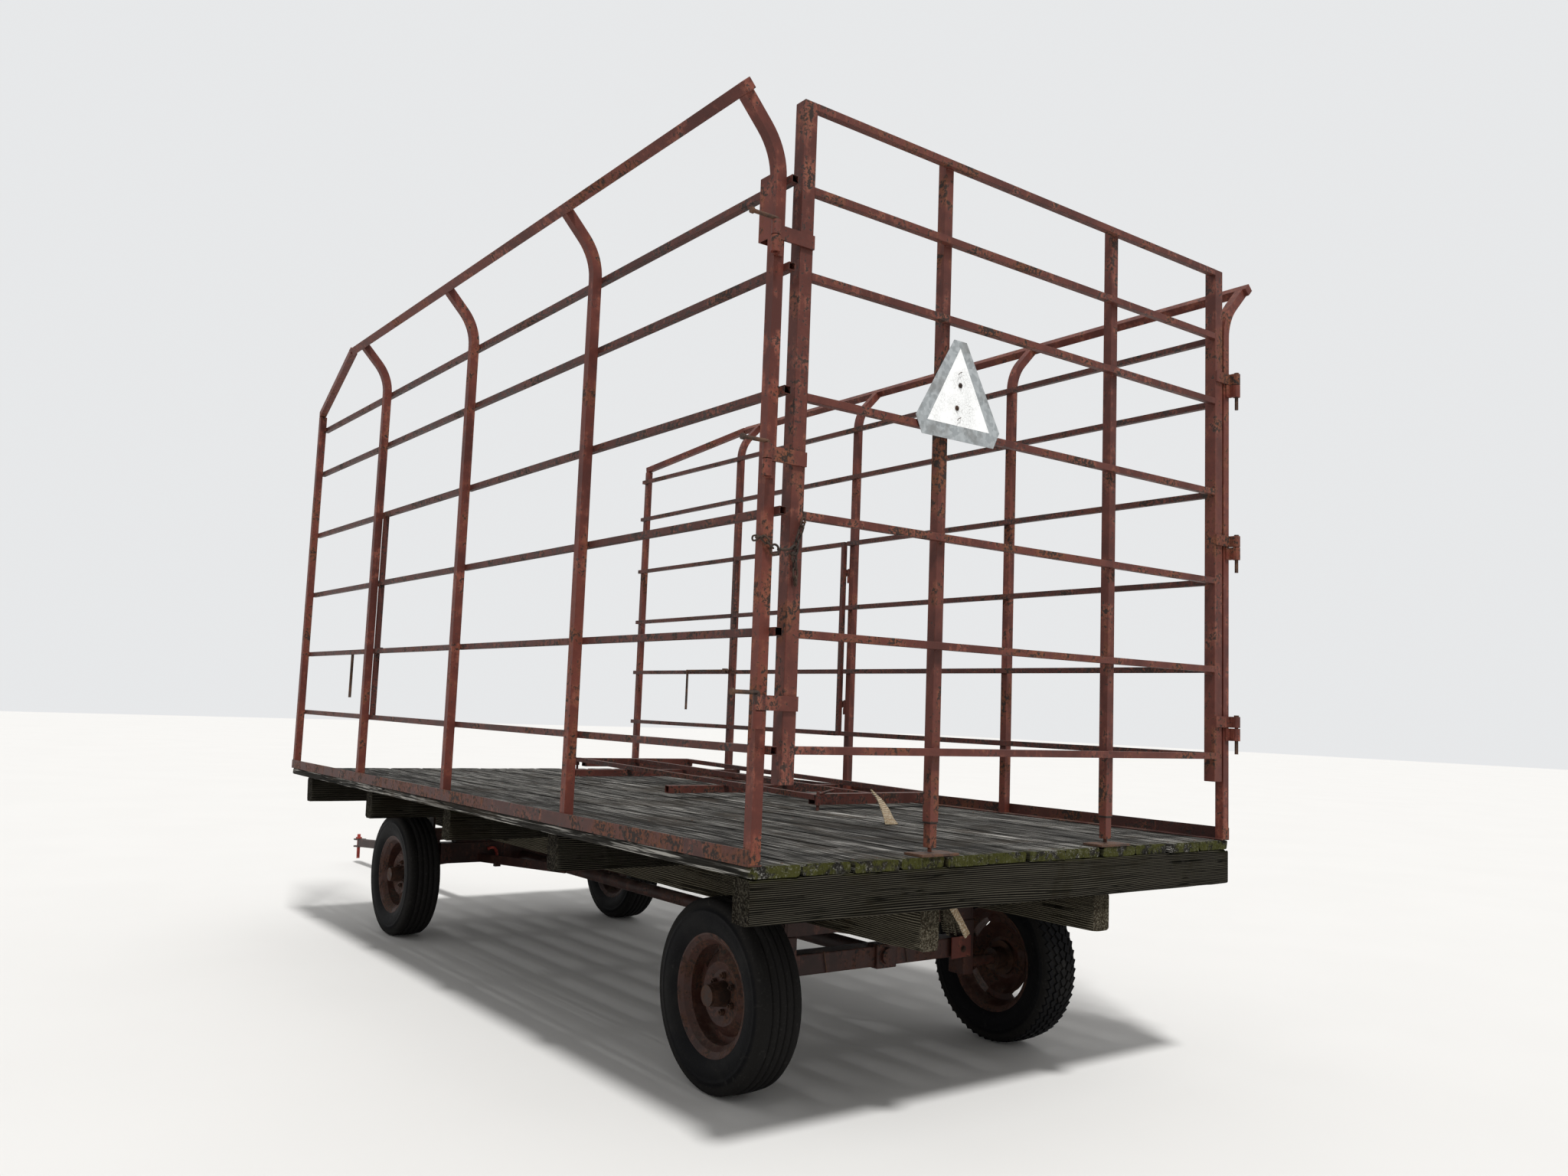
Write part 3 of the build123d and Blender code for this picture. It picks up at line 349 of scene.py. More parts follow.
def beamWood(name, values, alongX):
    # sawn beams whose weathered grain stands up in ribs, with rough end grain
    material, board, spot = newFinish(name)
    turned = spot if alongX else board.stretch(spot, (1, 1, 1), (0, 0, math.pi / 2))
    sideX, sideY, up = facing(board)
    endways = abs(sideX if alongX else sideY).fade(0.6, 0.85)
    wavy = board.node("ShaderNodeTexWave", {"bands_direction": "Z", "wave_profile": "SIN"}, {
        "Vector": board.stretch(turned, (0.12, 0.8, 1.0)), "Scale": 46.0, "Distortion": 22.0,
        "Detail": 1.5, "Detail Scale": 0.19, "Detail Roughness": 0.5}, 1)
    fibre = board.fibres(turned, (6.0, 210.0, 210.0), 3.0, 0.65)
    streak = board.fibres(turned, (1.4, 22.0, 30.0), 4.0, 0.6, 0.5)
    stain = board.cloud(spot, 3.1, 4.0, 0.62, 0.4)
    split = board.fibres(turned, (0.8, 30.0, 46.0), 2.0, 0.5, 0.3)
    crack = abs(split - 0.5).fade(0.004, 0.018, 1.0, 0.0) * stain.fade(0.40, 0.55)
    rings = board.node("ShaderNodeTexWave", {
        "wave_type": "RINGS", "rings_direction": "X" if alongX else "Y"}, {
        "Vector": board.stretch(spot, (1, 1, 1), (0, 0, 0), (0.04, 0.05, 0.3)), "Scale": 26.0,
        "Distortion": 3.0, "Detail": 2.0}, 1)
    pits = board.cloud(spot, 160.0, 3.0, 0.7)
    moss = up.fade(-0.2, 0.7) * stain.fade(0.46, 0.60)
    endTone = board.blend(pits.fade(0.44, 0.64) * 0.8, values["dark"], values["pale"])
    tone = board.coats(
        board.blend((streak * 0.5 + wavy * 0.5).fade(0.34, 0.62), values["dark"], values["grey"]),
        ((wavy * 0.50 + fibre * 0.25 + streak * 0.25).fade(0.52, 0.74), values["pale"]),
        (stain.fade(0.50, 0.66) * 0.6, values["brown"]),
        (endways, board.blend(rings.fade(0.3, 0.7) * 0.4, endTone, values["brown"])),
        (crack * (1.0 - endways), values["crack"]),
        (moss * 0.4, values["moss"]))
    height = (wavy * 0.55 + fibre * 0.35 - crack) * (1.0 - endways) + pits * endways * 0.9
    board.close(tone, 0.88, height, 0.0055, shine=0.03)
    return material


def rubber(name):
    # black rubber, dusty and scuffed: the map's second number says how far out from the rim it is
    material, board, spot = newFinish(name)
    outwards = board.split(board.node("ShaderNodeTexCoord", None, None, "UV"))[1]
    broad = board.cloud(spot, 5.0, 4.0, 0.6, 0.6)
    fine = board.cloud(spot, 90.0, 4.0, 0.7)
    smear = board.cloud(spot, 11.0, 5.0, 0.66, 1.2)
    tread = outwards.fade(0.70, 0.78)
    # the rubber's black, darkened past its own tone as painted shade, to cancel light bounced off the pale
    # floor
    shadedBlack = (0.0035, 0.0035, 0.0042, 1)
    worn = (0.015, 0.0140, 0.013, 1)
    dusty = (0.048, 0.046, 0.043, 1)
    tone = board.coats(
        shadedBlack,
        (tread * 0.7, worn),
        (broad.fade(0.45, 0.70) * 0.5, worn),
        (smear.fade(0.60, 0.72) * 0.38, dusty),
        (fine.fade(0.56, 0.70) * (0.12 + tread * 0.2), dusty))
    rough = 0.62 + tread * 0.2 + smear.fade(0.55, 0.7) * 0.15
    board.close(tone, rough, fine * 0.5 + broad * 0.3, 0.0012, shine=0.07)
    return material


def rustySteel(name, dark, light, metallic):
    # bare steel, dark where it is rubbed and lighter where it has rusted
    material, board, spot = newFinish(name)
    broad = board.cloud(spot, 14.0, 4.0, 0.65, 0.4)
    fine = board.cloud(spot, 150.0, 4.0, 0.7)
    rust = (broad * 0.6 + fine * 0.4).fade(0.40, 0.60)
    tone = board.coats(dark, (rust, light), (fine.fade(0.60, 0.70) * 0.6, (0.030, 0.022, 0.018, 1)))
    board.close(tone, 0.55 + rust * 0.32, fine * 0.6 + rust * 0.3, 0.0008, metallic * (1.0 - rust))
    return material


def zincPlate(name):
    # dull galvanised sheet with its crystal pattern and broad stains
    material, board, spot = newFinish(name)
    crystals = board.node("ShaderNodeTexVoronoi", {"feature": "F1"}, {"Vector": spot, "Scale": 75.0}, 1)
    tint = board.node("ShaderNodeSeparateColor", None, {0: crystals}).fade(0.0, 1.0)
    broad = board.cloud(spot, 9.0, 4.0, 0.6)
    stained = broad.fade(0.50, 0.68) * 0.5
    tone = board.coats((0.300, 0.322, 0.330, 1), (tint, (0.420, 0.445, 0.455, 1)),
                       (stained, (0.160, 0.155, 0.145, 1)))
    board.close(tone, 0.46 + tint * 0.12 + broad * 0.1, broad, 0.0004, 0.35)
    return material


def crazedWhite(name):
    # sun-bleached film that has cracked like old glaze
    material, board, spot = newFinish(name)
    cells, small = (board.node("ShaderNodeTexVoronoi", {"feature": "DISTANCE_TO_EDGE"}, {
        "Vector": spot, "Scale": scale}) for scale in (95.0, 230.0))
    broad = board.cloud(spot, 12.0, 4.0, 0.62)
    line = cells.fade(0.010, 0.045, 1.0, 0.0).most(small.fade(0.004, 0.020, 0.6, 0.0))
    tone = board.coats((0.960, 0.965, 0.960, 1), (broad.fade(0.38, 0.62), (0.890, 0.900, 0.895, 1)),
                       (line * broad.fade(0.35, 0.62) * 0.6, (0.330, 0.325, 0.300, 1)))
    board.close(tone, 0.62, 1.0 - line, 0.0003)
    return material


def dustGround(name, colour):
    # a pale floor with the faintest change of tone
    material, board, spot = newFinish(name)
    shade = tuple(level * 0.985 for level in colour[:3]) + (1,)
    board.close(board.blend(board.cloud(spot, 0.8, 2.0).fade(0.3, 0.7), colour, shade), 0.9)
    return material


# Pieces are plain meshes in the wagon's own frame


def addPiece(name, verts, faces, material, body, smooth=False):
    mesh = bpy.data.meshes.new(name)
    mesh.from_pydata([tuple(v) for v in verts], [], faces)
    mesh.validate()
    mesh.update()
    return linkPiece(name, mesh, material, body, smooth)


def linkPiece(name, mesh, material, body, smooth=False):
    piece = bpy.data.objects.new(name, mesh)
    bpy.context.scene.collection.objects.link(piece)
    mesh.materials.clear()
    mesh.materials.append(material)
    for face in mesh.polygons:
        face.material_index = 0
        face.use_smooth = smooth
    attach(piece, body)
    return piece


def turnOutwards(piece):
    # all faces of a closed mesh point away from its inside
    work = bmesh.new()
    work.from_mesh(piece.data)
    bmesh.ops.recalc_face_normals(work, faces=work.faces)
    work.to_mesh(piece.data)
    work.free()


mergeDistance = 0.00002  # metres between points that count as one


def mergedCopy(nodeName):
    # a node's mesh with its loose triangles joined
    work = bmesh.new()
    work.from_mesh(cadNodes[nodeName].data)
    bmesh.ops.remove_doubles(work, verts=work.verts, dist=mergeDistance)
    return work


def solidBoxes(nodeName):
    # the lowest and highest corners of each separate solid in a node
    work = mergedCopy(nodeName)
    left = set(work.verts)
    boxes = []
    while left:
        heap = [left.pop()]
        group = list(heap)
        while heap:
            for edge in heap.pop().link_edges:
                for vert in edge.verts:
                    if vert in left:
                        left.remove(vert)
                        heap.append(vert)
                        group.append(vert)
        low = Vector([min(vert.co[axis] for vert in group) for axis in range(3)])
        high = Vector([max(vert.co[axis] for vert in group) for axis in range(3)])
        boxes.append((low, high))
    work.free()
    return sorted(boxes, key=lambda pair: tuple(round(v, 4) for v in pair[0]))


def ringFaces(rings, count, first=0):
    # quads between rings of points that follow each other
    faces = []
    for one in range(first, first + (rings - 1) * count, count):
        for corner in range(count):
            following = (corner + 1) % count
            faces.append((one + corner, one + following, one + count + following, one + count + corner))
    return faces


def paintNode(nodeName, material):
    data = cadNodes[nodeName].data
    data.materials.clear()
    data.materials.append(material)


# Geometry Nodes: a tree of named numbers grows a piece from a seed mesh


def growBoard(name, fields):
    # a new tree with a named input for each field, and the wires that leave those inputs
    tree = bpy.data.node_groups.new(name, "GeometryNodeTree")
    tree.interface.new_socket("Seed", in_out="INPUT", socket_type="NodeSocketGeometry")
    for key, value in fields.items():
        kind = "NodeSocketInt" if isinstance(value, int) else "NodeSocketFloat"
        if isinstance(value, tuple):
            kind = "NodeSocketVector"
        tree.interface.new_socket(key, in_out="INPUT", socket_type=kind)
    tree.interface.new_socket("Grown", in_out="OUTPUT", socket_type="NodeSocketGeometry")
    board = Board(tree)
    entry = board.node("NodeGroupInput")
    wires = {socket.name: Wire(board, socket) for socket in entry.socket.node.outputs if socket.name}
    return board, wires


def endBoard(board, grown, material):
    real = board.node("GeometryNodeRealizeInstances", None, {0: grown})
    dressed = board.node("GeometryNodeSetMaterial", None, {0: real, "Material": material})
    board.node("NodeGroupOutput", None, {0: dressed})


def grow(name, board, fields, seed, material, body, smooth=False):
    # the seed is a list of points and a list of edges; the grown piece is a plain mesh
    seedMesh = bpy.data.meshes.new(name + "_seed")
    seedMesh.from_pydata([tuple(point) for point in seed[0]], seed[1], [])
    carrier = bpy.data.objects.new(name + "_seed", seedMesh)
    bpy.context.scene.collection.objects.link(carrier)
    modifier = carrier.modifiers.new("grow", "NODES")
    modifier.node_group = board.tree
    for item in board.tree.interface.items_tree:
        if item.in_out == "INPUT" and item.name in fields:
            modifier[item.identifier] = fields[item.name]
    bpy.context.view_layer.update()
    finished = carrier.evaluated_get(bpy.context.evaluated_depsgraph_get())
    mesh = bpy.data.meshes.new_from_object(finished)
    carrier.modifiers.remove(modifier)
    bpy.data.objects.remove(carrier)
    return linkPiece(name, mesh, material, body, smooth)


def boltBoard(name, material, fields):
    # a head with a washer on each seed point, its axis turned from Z, each spun by chance
    board, wires = growBoard(name, fields)
    head = board.node("GeometryNodeMeshCone", None, {
        "Vertices": wires["sides"], "Radius Top": wires["radius"] * 0.86, "Radius Bottom": wires["radius"],
        "Depth": wires["tall"]})
    tip = board.node("GeometryNodeMeshCone", None, {
        "Vertices": 10, "Radius Top": wires["radius"] * 0.36, "Radius Bottom": wires["radius"] * 0.48,
        "Depth": wires["tip"] + wires["tall"]})
    washer = board.node("GeometryNodeMeshCylinder", None, {
        "Vertices": 14, "Radius": wires["radius"] * wires["washer"], "Depth": wires["tall"] * 0.3})
    joined = board.node("GeometryNodeJoinGeometry", None, {0: head})
    for part in (tip, washer):
        board.tree.links.new(part.socket, joined.socket.node.inputs[0])
    spun = board.node("ShaderNodeCombineXYZ", None, {2: board.chance(0.0, 3.1, wires["seed"])})
    aimed = board.node("FunctionNodeEulerToRotation", None, {0: wires["turn"]})
    endBoard(board, board.scatter(wires["Seed"], joined, board.turn(aimed, spun)), material)
    return board


def growBolts(name, material, sizes, places, body):
    board = boltBoard(name, material, sizes)
    grow(name, board, sizes, (places, []), material, body)


def chainBoard(name, material, fields):
    # oval links along the seed's lines, every second one turned a quarter
    board, wires = growBoard(name, fields)
    lines = board.node("GeometryNodeMeshToCurve", None, {"Mesh": wires["Seed"]})
    stations = board.node("GeometryNodeResampleCurve", {"mode": "LENGTH"}, {
        "Curve": lines, "Length": wires["pitch"]})
    outline = board.node("GeometryNodeCurvePrimitiveQuadrilateral", {"mode": "RECTANGLE"}, {
        "Width": wires["long"] - wires["wire"], "Height": wires["wide"] - wires["wire"]})
    rounded = board.node("GeometryNodeFilletCurve", {"mode": "POLY"}, {
        "Curve": outline, "Count": 4, "Radius": (wires["wide"] - wires["wire"]) * 0.49, "Limit Radius": True})
    section = board.node("GeometryNodeCurvePrimitiveCircle", None, {
        "Resolution": 7, "Radius": wires["wire"] / 2})
    link = board.node("GeometryNodeCurveToMesh", None, {"Curve": rounded, "Profile Curve": section})
    along = board.node("GeometryNodeInputTangent")
    index = board.node("GeometryNodeInputIndex")
    quarter = board.node("ShaderNodeMath", {"operation": "MODULO"}, {0: index, 1: 2.0}) * (math.pi / 2)
    sway = board.chance(wires["loose"] * -1.0, wires["loose"], wires["seed"])
    spun = board.node("ShaderNodeCombineXYZ", None, {0: quarter + sway})
    aimed = board.node("FunctionNodeAlignRotationToVector", {"axis": "X"}, {"Vector": along})
    endBoard(board, board.scatter(stations, link, board.turn(aimed, spun)), material)
    return board


def beadBoard(name, material, fields):
    # a lumpy weld bead along each line of the seed
    board, wires = growBoard(name, fields)
    lines = board.node("GeometryNodeMeshToCurve", None, {"Mesh": wires["Seed"]})
    stations = board.node("GeometryNodeResampleCurve", {"mode": "COUNT"}, {
        "Curve": lines, "Count": wires["lumps"]})
    thick = board.chance(wires["radius"] * 0.6, wires["radius"] * 1.25, wires["seed"])
    shaped = board.node("GeometryNodeSetCurveRadius", None, {"Curve": stations, "Radius": 1.0})
    section = board.node("GeometryNodeCurvePrimitiveCircle", None, {"Resolution": 6, "Radius": 1.0})
    bead = board.node("GeometryNodeCurveToMesh", None, {
        "Curve": shaped, "Profile Curve": section, "Scale": thick, "Fill Caps": True})
    endBoard(board, bead, material)
    return board


def treadBoard(name, material, fields):
    # slanted rubber blocks that stand on the seed points and face away from the wheel's centre
    board, wires = growBoard(name, fields)
    block = board.node("GeometryNodeMeshCone", None, {
        "Vertices": 4, "Radius Top": 0.60, "Radius Bottom": 0.72, "Depth": wires["tall"]})
    squared = board.node("GeometryNodeTransform", None, {
        "Geometry": block, "Rotation": (0.0, 0.0, math.pi / 4)})
    size = board.node("ShaderNodeCombineXYZ", None, {0: wires["long"], 1: wires["wide"], 2: 1.0})
    sized = board.node("GeometryNodeTransform", None, {"Geometry": squared, "Scale": size})
    place = board.node("GeometryNodeInputPosition")
    out = board.node("ShaderNodeVectorMath", {"operation": "SUBTRACT"}, {0: place, 1: wires["centre"]})
    flat = board.node("ShaderNodeVectorMath", {"operation": "MULTIPLY"}, {0: out, 1: (1.0, 0.0, 1.0)})
    across = board.split(out)[1]
    side = board.node("ShaderNodeMath", {"operation": "SIGN"}, {0: across})
    aimed = board.node("FunctionNodeAlignRotationToVector", {"axis": "Z", "pivot_axis": "Y"}, {
        "Vector": flat})
    slant = board.node("ShaderNodeCombineXYZ", None, {2: side * wires["slant"]})
    endBoard(board, board.scatter(wires["Seed"], sized, board.turn(aimed, slant)), material)
    return board


# Worn timber: each box becomes a beam with eaten edges and ragged ends


def wornBeams(name, boxes, wear, material, body, alongX):
    verts = []
    faces = []
    endRows = (0.0, 0.004, 0.014)  # rings of points from each end, before the even steps
    endRoom = 0.03
    frayRoom = 0.013
    tops = [-1.0, -0.98, -0.93, -0.8, -0.55, -0.25, 0.0, 0.25, 0.55, 0.8, 0.93, 0.98, 1.0]
    rows = [(share, 1) for share in tops] + [(share, -1) for share in reversed(tops)]
    ring = len(rows)
    for number, (low, high) in enumerate(boxes):
        chance = random.Random(wear["seed"] * 100 + number)
        start, end = (low.x, high.x) if alongX else (low.y, high.y)
        left, right = (low.y, high.y) if alongX else (low.x, high.x)
        half = (right - left) / 2 - wear["shrunk"]
        middle = (left + right) / 2
        steps = max(3, int((end - start) / wear["step"]))
        between = end - start - 2 * endRoom
        stations = [start + row for row in endRows]
        stations += [start + endRoom + between * step / steps for step in range(steps + 1)]
        stations += [end - row for row in reversed(endRows)]
        bow = chance.uniform(-1.0, 1.0) * wear["bow"]
        first = len(verts)
        for order, station in enumerate(stations):
            nearEnd = min(station - start, end - station)
            eaten = wear["round"] * (1.0 + 1.6 * max(0.0, 1.0 - nearEnd / 0.12))
            for share, level in rows:
                spotted = Vector((station * 2.3, middle * 7.1 + share * 2.0, number * 3.7 + level * 5.0))
                bite = max(0.0, noise.noise(spotted * 3.1) - 0.12) * wear["chips"]
                radius = eaten * (0.7 + 0.6 * noise.noise(spotted)) + bite
                reach = (abs(share) - (1.0 - radius / half)) * half / radius if radius > 0 else 0.0
                drop = 0.0
                if reach > 0:
                    drop = radius * (1.0 - math.sqrt(max(0.0, 1.0 - min(1.0, reach) ** 2)))
                    drop = min(drop, (high.z - low.z) * 0.4)
                rough = 0.5 + 0.5 * noise.noise(spotted * 4.0 + Vector((0, share * 9, 0)))
                drop += rough * wear["rough"]
                z = low.z + drop
                if level > 0:
                    z = high.z - drop
                    z -= max(0.0, bow) * (1.0 - share * share) + max(0.0, -bow) * share * share
                narrow = 0.3 + 0.3 * noise.noise(spotted * 1.7)
                across = middle + share * (half - narrow * wear["rough"])
                along = station
                if nearEnd < frayRoom:
                    farEnd = 5 if order > 9 else 0
                    fibre = Vector((share * wear["fibres"], number * 9.1, level * 0.7 + farEnd))
                    fray = (0.5 + 0.5 * noise.noise(fibre)) * wear["ragged"] * (1.0 - nearEnd / frayRoom)
                    along = station + fray if station - start < 0.05 else station - fray
                verts.append((along, across, z) if alongX else (across, along, z))
        faces += ringFaces(len(stations), ring, first)
        last = len(verts) - ring
        for base in (first, last):
            for corner in range(len(tops) - 1):
                opposite = base + ring - 1 - corner
                faces.append((base + corner, base + corner + 1, opposite - 1, opposite))
    piece = addPiece(name, verts, faces, material, body)
    turnOutwards(piece)
    return piece


def softEdges(nodeName, radius, material, body, slotName):
    # a node's own shape with its outer square edges rounded
    flat = math.radians(1.0)
    sharp = math.radians(55)
    work = mergedCopy(nodeName)
    bmesh.ops.dissolve_limit(work, angle_limit=flat, verts=work.verts, edges=work.edges)
    picked = []
    for edge in work.edges:
        if len(edge.link_faces) == 2 and edge.is_convex and edge.calc_length() > radius * 3:
            if edge.calc_face_angle(0.0) > sharp:
                picked.append(edge)
    bmesh.ops.bevel(work, geom=picked, offset=radius, segments=2, profile=0.5,
                    affect="EDGES", clamp_overlap=True)
    mesh = bpy.data.meshes.new(nodeName + "_rounded")
    work.to_mesh(mesh)
    work.free()
    piece = linkPiece(nodeName + "_rounded", mesh, material, body)
    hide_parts(nodeName)


def bentWire(name, route, radius, material, body, sides=5):
    # a round wire or pipe along a smooth line through the route
    line = bpy.data.curves.new(name, "CURVE")
    line.dimensions = "3D"
    line.bevel_depth = radius
    line.bevel_resolution = sides
    line.use_fill_caps = True
    spline = line.splines.new("NURBS")
    spline.points.add(len(route) - 1)
    for point, place in zip(spline.points, route):
        point.co = tuple(place) + (1.0,)
    spline.use_endpoint_u = True
    spline.order_u = 3
    spline.resolution_u = 6
    carrier = bpy.data.objects.new(name + "_line", line)
    bpy.context.scene.collection.objects.link(carrier)
    bpy.context.view_layer.update()
    finished = carrier.evaluated_get(bpy.context.evaluated_depsgraph_get())
    mesh = bpy.data.meshes.new_from_object(finished)
    bpy.data.objects.remove(carrier)
    linkPiece(name, mesh, material, body, True)


def sheetPiece(name, outline, ahead, thick, material, body):
    # a flat plate: its outline is a ring of points, and it grows along the given direction
    base = [Vector(point) for point in outline]
    verts = base + [point + Vector(ahead) * thick for point in base]
    count = len(base)
    faces = [tuple(range(count)), tuple(range(2 * count - 1, count - 1, -1))]
    for index in range(count):
        following = (index + 1) % count
        faces.append((index, count + index, count + following, following))
    turnOutwards(addPiece(name, verts, faces, material, body))


def splinter(name, route, wide, thick, across, material, body, seed):
    # a torn sliver of wood: route points, its width at each, and the direction of its width
    chance = random.Random(seed)
    across = Vector(across).normalized()
    section = ((-1, -1), (-0.4, -1), (0.5, -1), (1, -1), (1, 1), (0.3, 1), (-0.5, 1), (-1, 1))
    count = len(section)
    verts = []
    for index, (place, share) in enumerate(zip(route, wide)):
        place = Vector(place)
        ahead = Vector(route[min(index + 1, len(route) - 1)]) - Vector(route[max(index - 1, 0)])
        up = ahead.normalized().cross(across).normalized()
        for side, level in section:
            jitter = 1.0 + chance.uniform(-0.25, 0.25)
            verts.append(place + across * side * share * 0.5 * jitter + up * level * thick * 0.5 * jitter)
    faces = ringFaces(len(route), count)
    faces += [tuple(range(count - 1, -1, -1)), tuple(range(len(verts) - count, len(verts)))]
    addPiece(name, verts, faces, material, body)


aimCamera(cameraView)
print("camera placed")


# Finishes on the solid nodes

boards = {"count": 12, "gap": 0.004}  # planks across the deck, and the metres between two of them
planksLow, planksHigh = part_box("deck_planks")
boardPitch = (planksHigh.y - planksLow.y + boards["gap"]) / boards["count"]
postPaint, anglePaint, railPaint, gatePaint, shadedGearPaint, shadedRimPaint, pinPaint = (
    oldPaint(name, values) for name, values in paints.items())
plankGrain = plankWood("old_planks", oldWood, boardPitch, planksLow.y - boards["gap"] / 2, planksLow.x)
shadedSillGrain = beamWood("shaded_old_sills", shadedBeamTones, False)
stringerGrain = beamWood("old_stringers", stringerTones, True)
blackRubber = rubber("tyre_rubber")
hubIron = rustySteel("rusty_hub", (0.022, 0.013, 0.010, 1), (0.060, 0.026, 0.014, 1), 0.3)
pinSteel = rustySteel("rusty_steel", (0.040, 0.028, 0.023, 1), (0.105, 0.052, 0.030, 1), 0.4)
chainSteel = rustySteel("chain_steel", (0.014, 0.012, 0.011, 1), (0.060, 0.036, 0.024, 1), 0.4)
zincSheet = zincPlate("zinc_plate")
whiteFilm = crazedWhite("crazed_white")
freshWood = dict(oldWood, dark=(0.26, 0.19, 0.12, 1), grey=(0.46, 0.38, 0.27, 1), pale=(0.62, 0.55, 0.43, 1),
                 brown=(0.33, 0.22, 0.12, 1))
paleWood = beamWood("torn_wood", freshWood, True)

nodeFinishes = {
    plankGrain: ["deck_planks"],
    shadedSillGrain: ["cross_sills"],
    stringerGrain: ["stringers"],
    postPaint: ["left_posts", "right_posts", "top_rails", "post_knuckles", "door_sockets"],
    anglePaint: ["edge_angles"],
    railPaint: ["left_side_rails", "right_side_rails", "loose_panel", "left_door", "right_door",
                "left_door_eyes", "right_door_eyes"],
    gatePaint: ["gate_stiles", "gate_rails", "gate_uprights", "gate_stubs", "gate_straps"],
    shadedGearPaint: ["rear_axle", "rear_bolster", "reach_pole", "reach_braces", "front_axle", "front_bolster",
                "left_knuckle", "right_knuckle", "left_tie_rod", "right_tie_rod", "tongue_swivel", "tongue"],
    pinPaint: ["hitch_pin"],
    pinSteel: ["deck_plates", "latch_rods", "gate_pins"],
    zincSheet: ["gate_sign"],
}
wheelNames = [end + "_" + side for end in ("rear", "front") for side in ("left", "right")]
nodeFinishes[shadedRimPaint] = [name + "_rim" for name in wheelNames]
nodeFinishes[hubIron] = [name + "_hub" for name in wheelNames]
for material, names in nodeFinishes.items():
    for nodeName in names:
        paintNode(nodeName, material)
print("finishes on the solids")


# Tyres: a lathed carcass with ribs, and one with room for blocks

ribTyre = {"segments": 112, "groove": 0.009, "grooveWide": 0.007, "ribs": 4, "blockRoom": 0.0075,
           "inner": 0.605, "crown": 0.004}
sidewall = [
    # share of the half width and share of the height, from the bead to the shoulder
    (0.84, 0.10), (0.94, 0.22), (0.99, 0.38), (1.00, 0.52), (0.985, 0.60), (1.00, 0.62), (0.995, 0.66),
    (0.965, 0.68), (0.945, 0.82), (0.90, 0.92),
]


def tyreProfile(half, outer, inner, grooves, depth, values):
    # points from the inner bead over the tread to the other bead, as distance across and radius
    tall = outer - inner
    shoulder = half * 0.80
    crown, wide = values["crown"], values["grooveWide"]
    points = [(-half * 0.70, inner), (-half * 0.80, inner + 0.006)]
    points += [(-half * across, inner + tall * out) for across, out in sidewall]
    points.append((-shoulder, outer - crown))
    treads = []
    for index in range(grooves):
        across = -shoulder + (index + 1) * 2 * shoulder / (grooves + 1)
        top = outer - crown * (across / shoulder) ** 2
        treads += [(across - wide * 0.5, top), (across - wide * 0.3, top - depth),
                   (across + wide * 0.3, top - depth), (across + wide * 0.5, top)]
    if not grooves:
        treads = [(shoulder * step / 3, outer - crown * (step / 3) ** 2) for step in (-2, -1, 0, 1, 2)]
    mirrored = [(-across, radius) for across, radius in reversed(points)]
    return points + treads + mirrored


def latheTyre(name, node, values, grooves, material, body, lower=0.0):
    low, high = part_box(node)
    centre = (low + high) / 2
    outer = (high.z - low.z) / 2
    inner = outer * values["inner"]
    outer -= lower
    depth = values["groove"] if grooves else 0.0
    profile = tyreProfile((high.y - low.y) / 2, outer, inner, grooves, depth, values)
    count = values["segments"]
    rows = len(profile)
    verts = []
    faces = []
    maps = []
    for step in range(count):
        angle = 2 * math.pi * step / count
        for across, radius in profile:
            verts.append(centre + Vector((radius * math.cos(angle), across, radius * math.sin(angle))))
    for step in range(count):
        one = step * rows
        two = (step + 1) % count * rows
        for row in range(rows):
            nextRow = (row + 1) % rows
            faces.append((one + row, one + nextRow, two + nextRow, two + row))
            out, nextOut = [(profile[index][1] - inner) / (outer - inner) for index in (row, nextRow)]
            if nextRow == 0:  # the face under the beads
                out = nextOut = 0.0
            here, there = step / count, (step + 1) / count
            maps.append([(here, out), (here, nextOut), (there, nextOut), (there, out)])
    piece = addPiece(name, verts, faces, material, body, True)
    layer = piece.data.uv_layers.new(name="round_and_out")
    for face in piece.data.polygons:
        for corner, pair in zip(face.loop_indices, maps[face.index]):
            layer.data[corner].uv = pair
    turnOutwards(piece)
    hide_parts(node)


for wheelName in wheelNames:
    grooves, lower = (0, ribTyre["blockRoom"]) if wheelName == "rear_right" else (ribTyre["ribs"], 0.0)
    latheTyre(wheelName + "_tyre_rubber", wheelName + "_tyre", ribTyre, grooves, blackRubber,
              wheelName + "_wheel", lower)
print("tyres lathed")


# Worn timber of the deck

timberWear = {
    "planks": {"seed": 3, "shrunk": 0.0035, "step": 0.11, "round": 0.0045, "chips": 0.020, "rough": 0.0016,
               "bow": 0.0018, "ragged": 0.010, "fibres": 9.0},
    "sills": {"seed": 5, "shrunk": 0.0, "step": 0.09, "round": 0.0075, "chips": 0.026, "rough": 0.0022,
              "bow": 0.0, "ragged": 0.008, "fibres": 6.0},
    "stringers": {"seed": 8, "shrunk": 0.0, "step": 0.12, "round": 0.0070, "chips": 0.020, "rough": 0.0020,
                  "bow": 0.0, "ragged": 0.010, "fibres": 6.0},
}
timbers = [
    # node, wear, material, slot, along X
    ("deck_planks", "planks", plankGrain, "old_planks", True),
    ("cross_sills", "sills", shadedSillGrain, "old_beams", False),
    ("stringers", "stringers", stringerGrain, "old_beams", True),
]
for nodeName, wearName, material, slotName, alongX in timbers:
    piece = wornBeams("worn_" + nodeName, solidBoxes(nodeName), timberWear[wearName], material, "wagon",
                      alongX)
    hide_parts(nodeName)
print("timber worn")


# Steel tubes with rounded edges

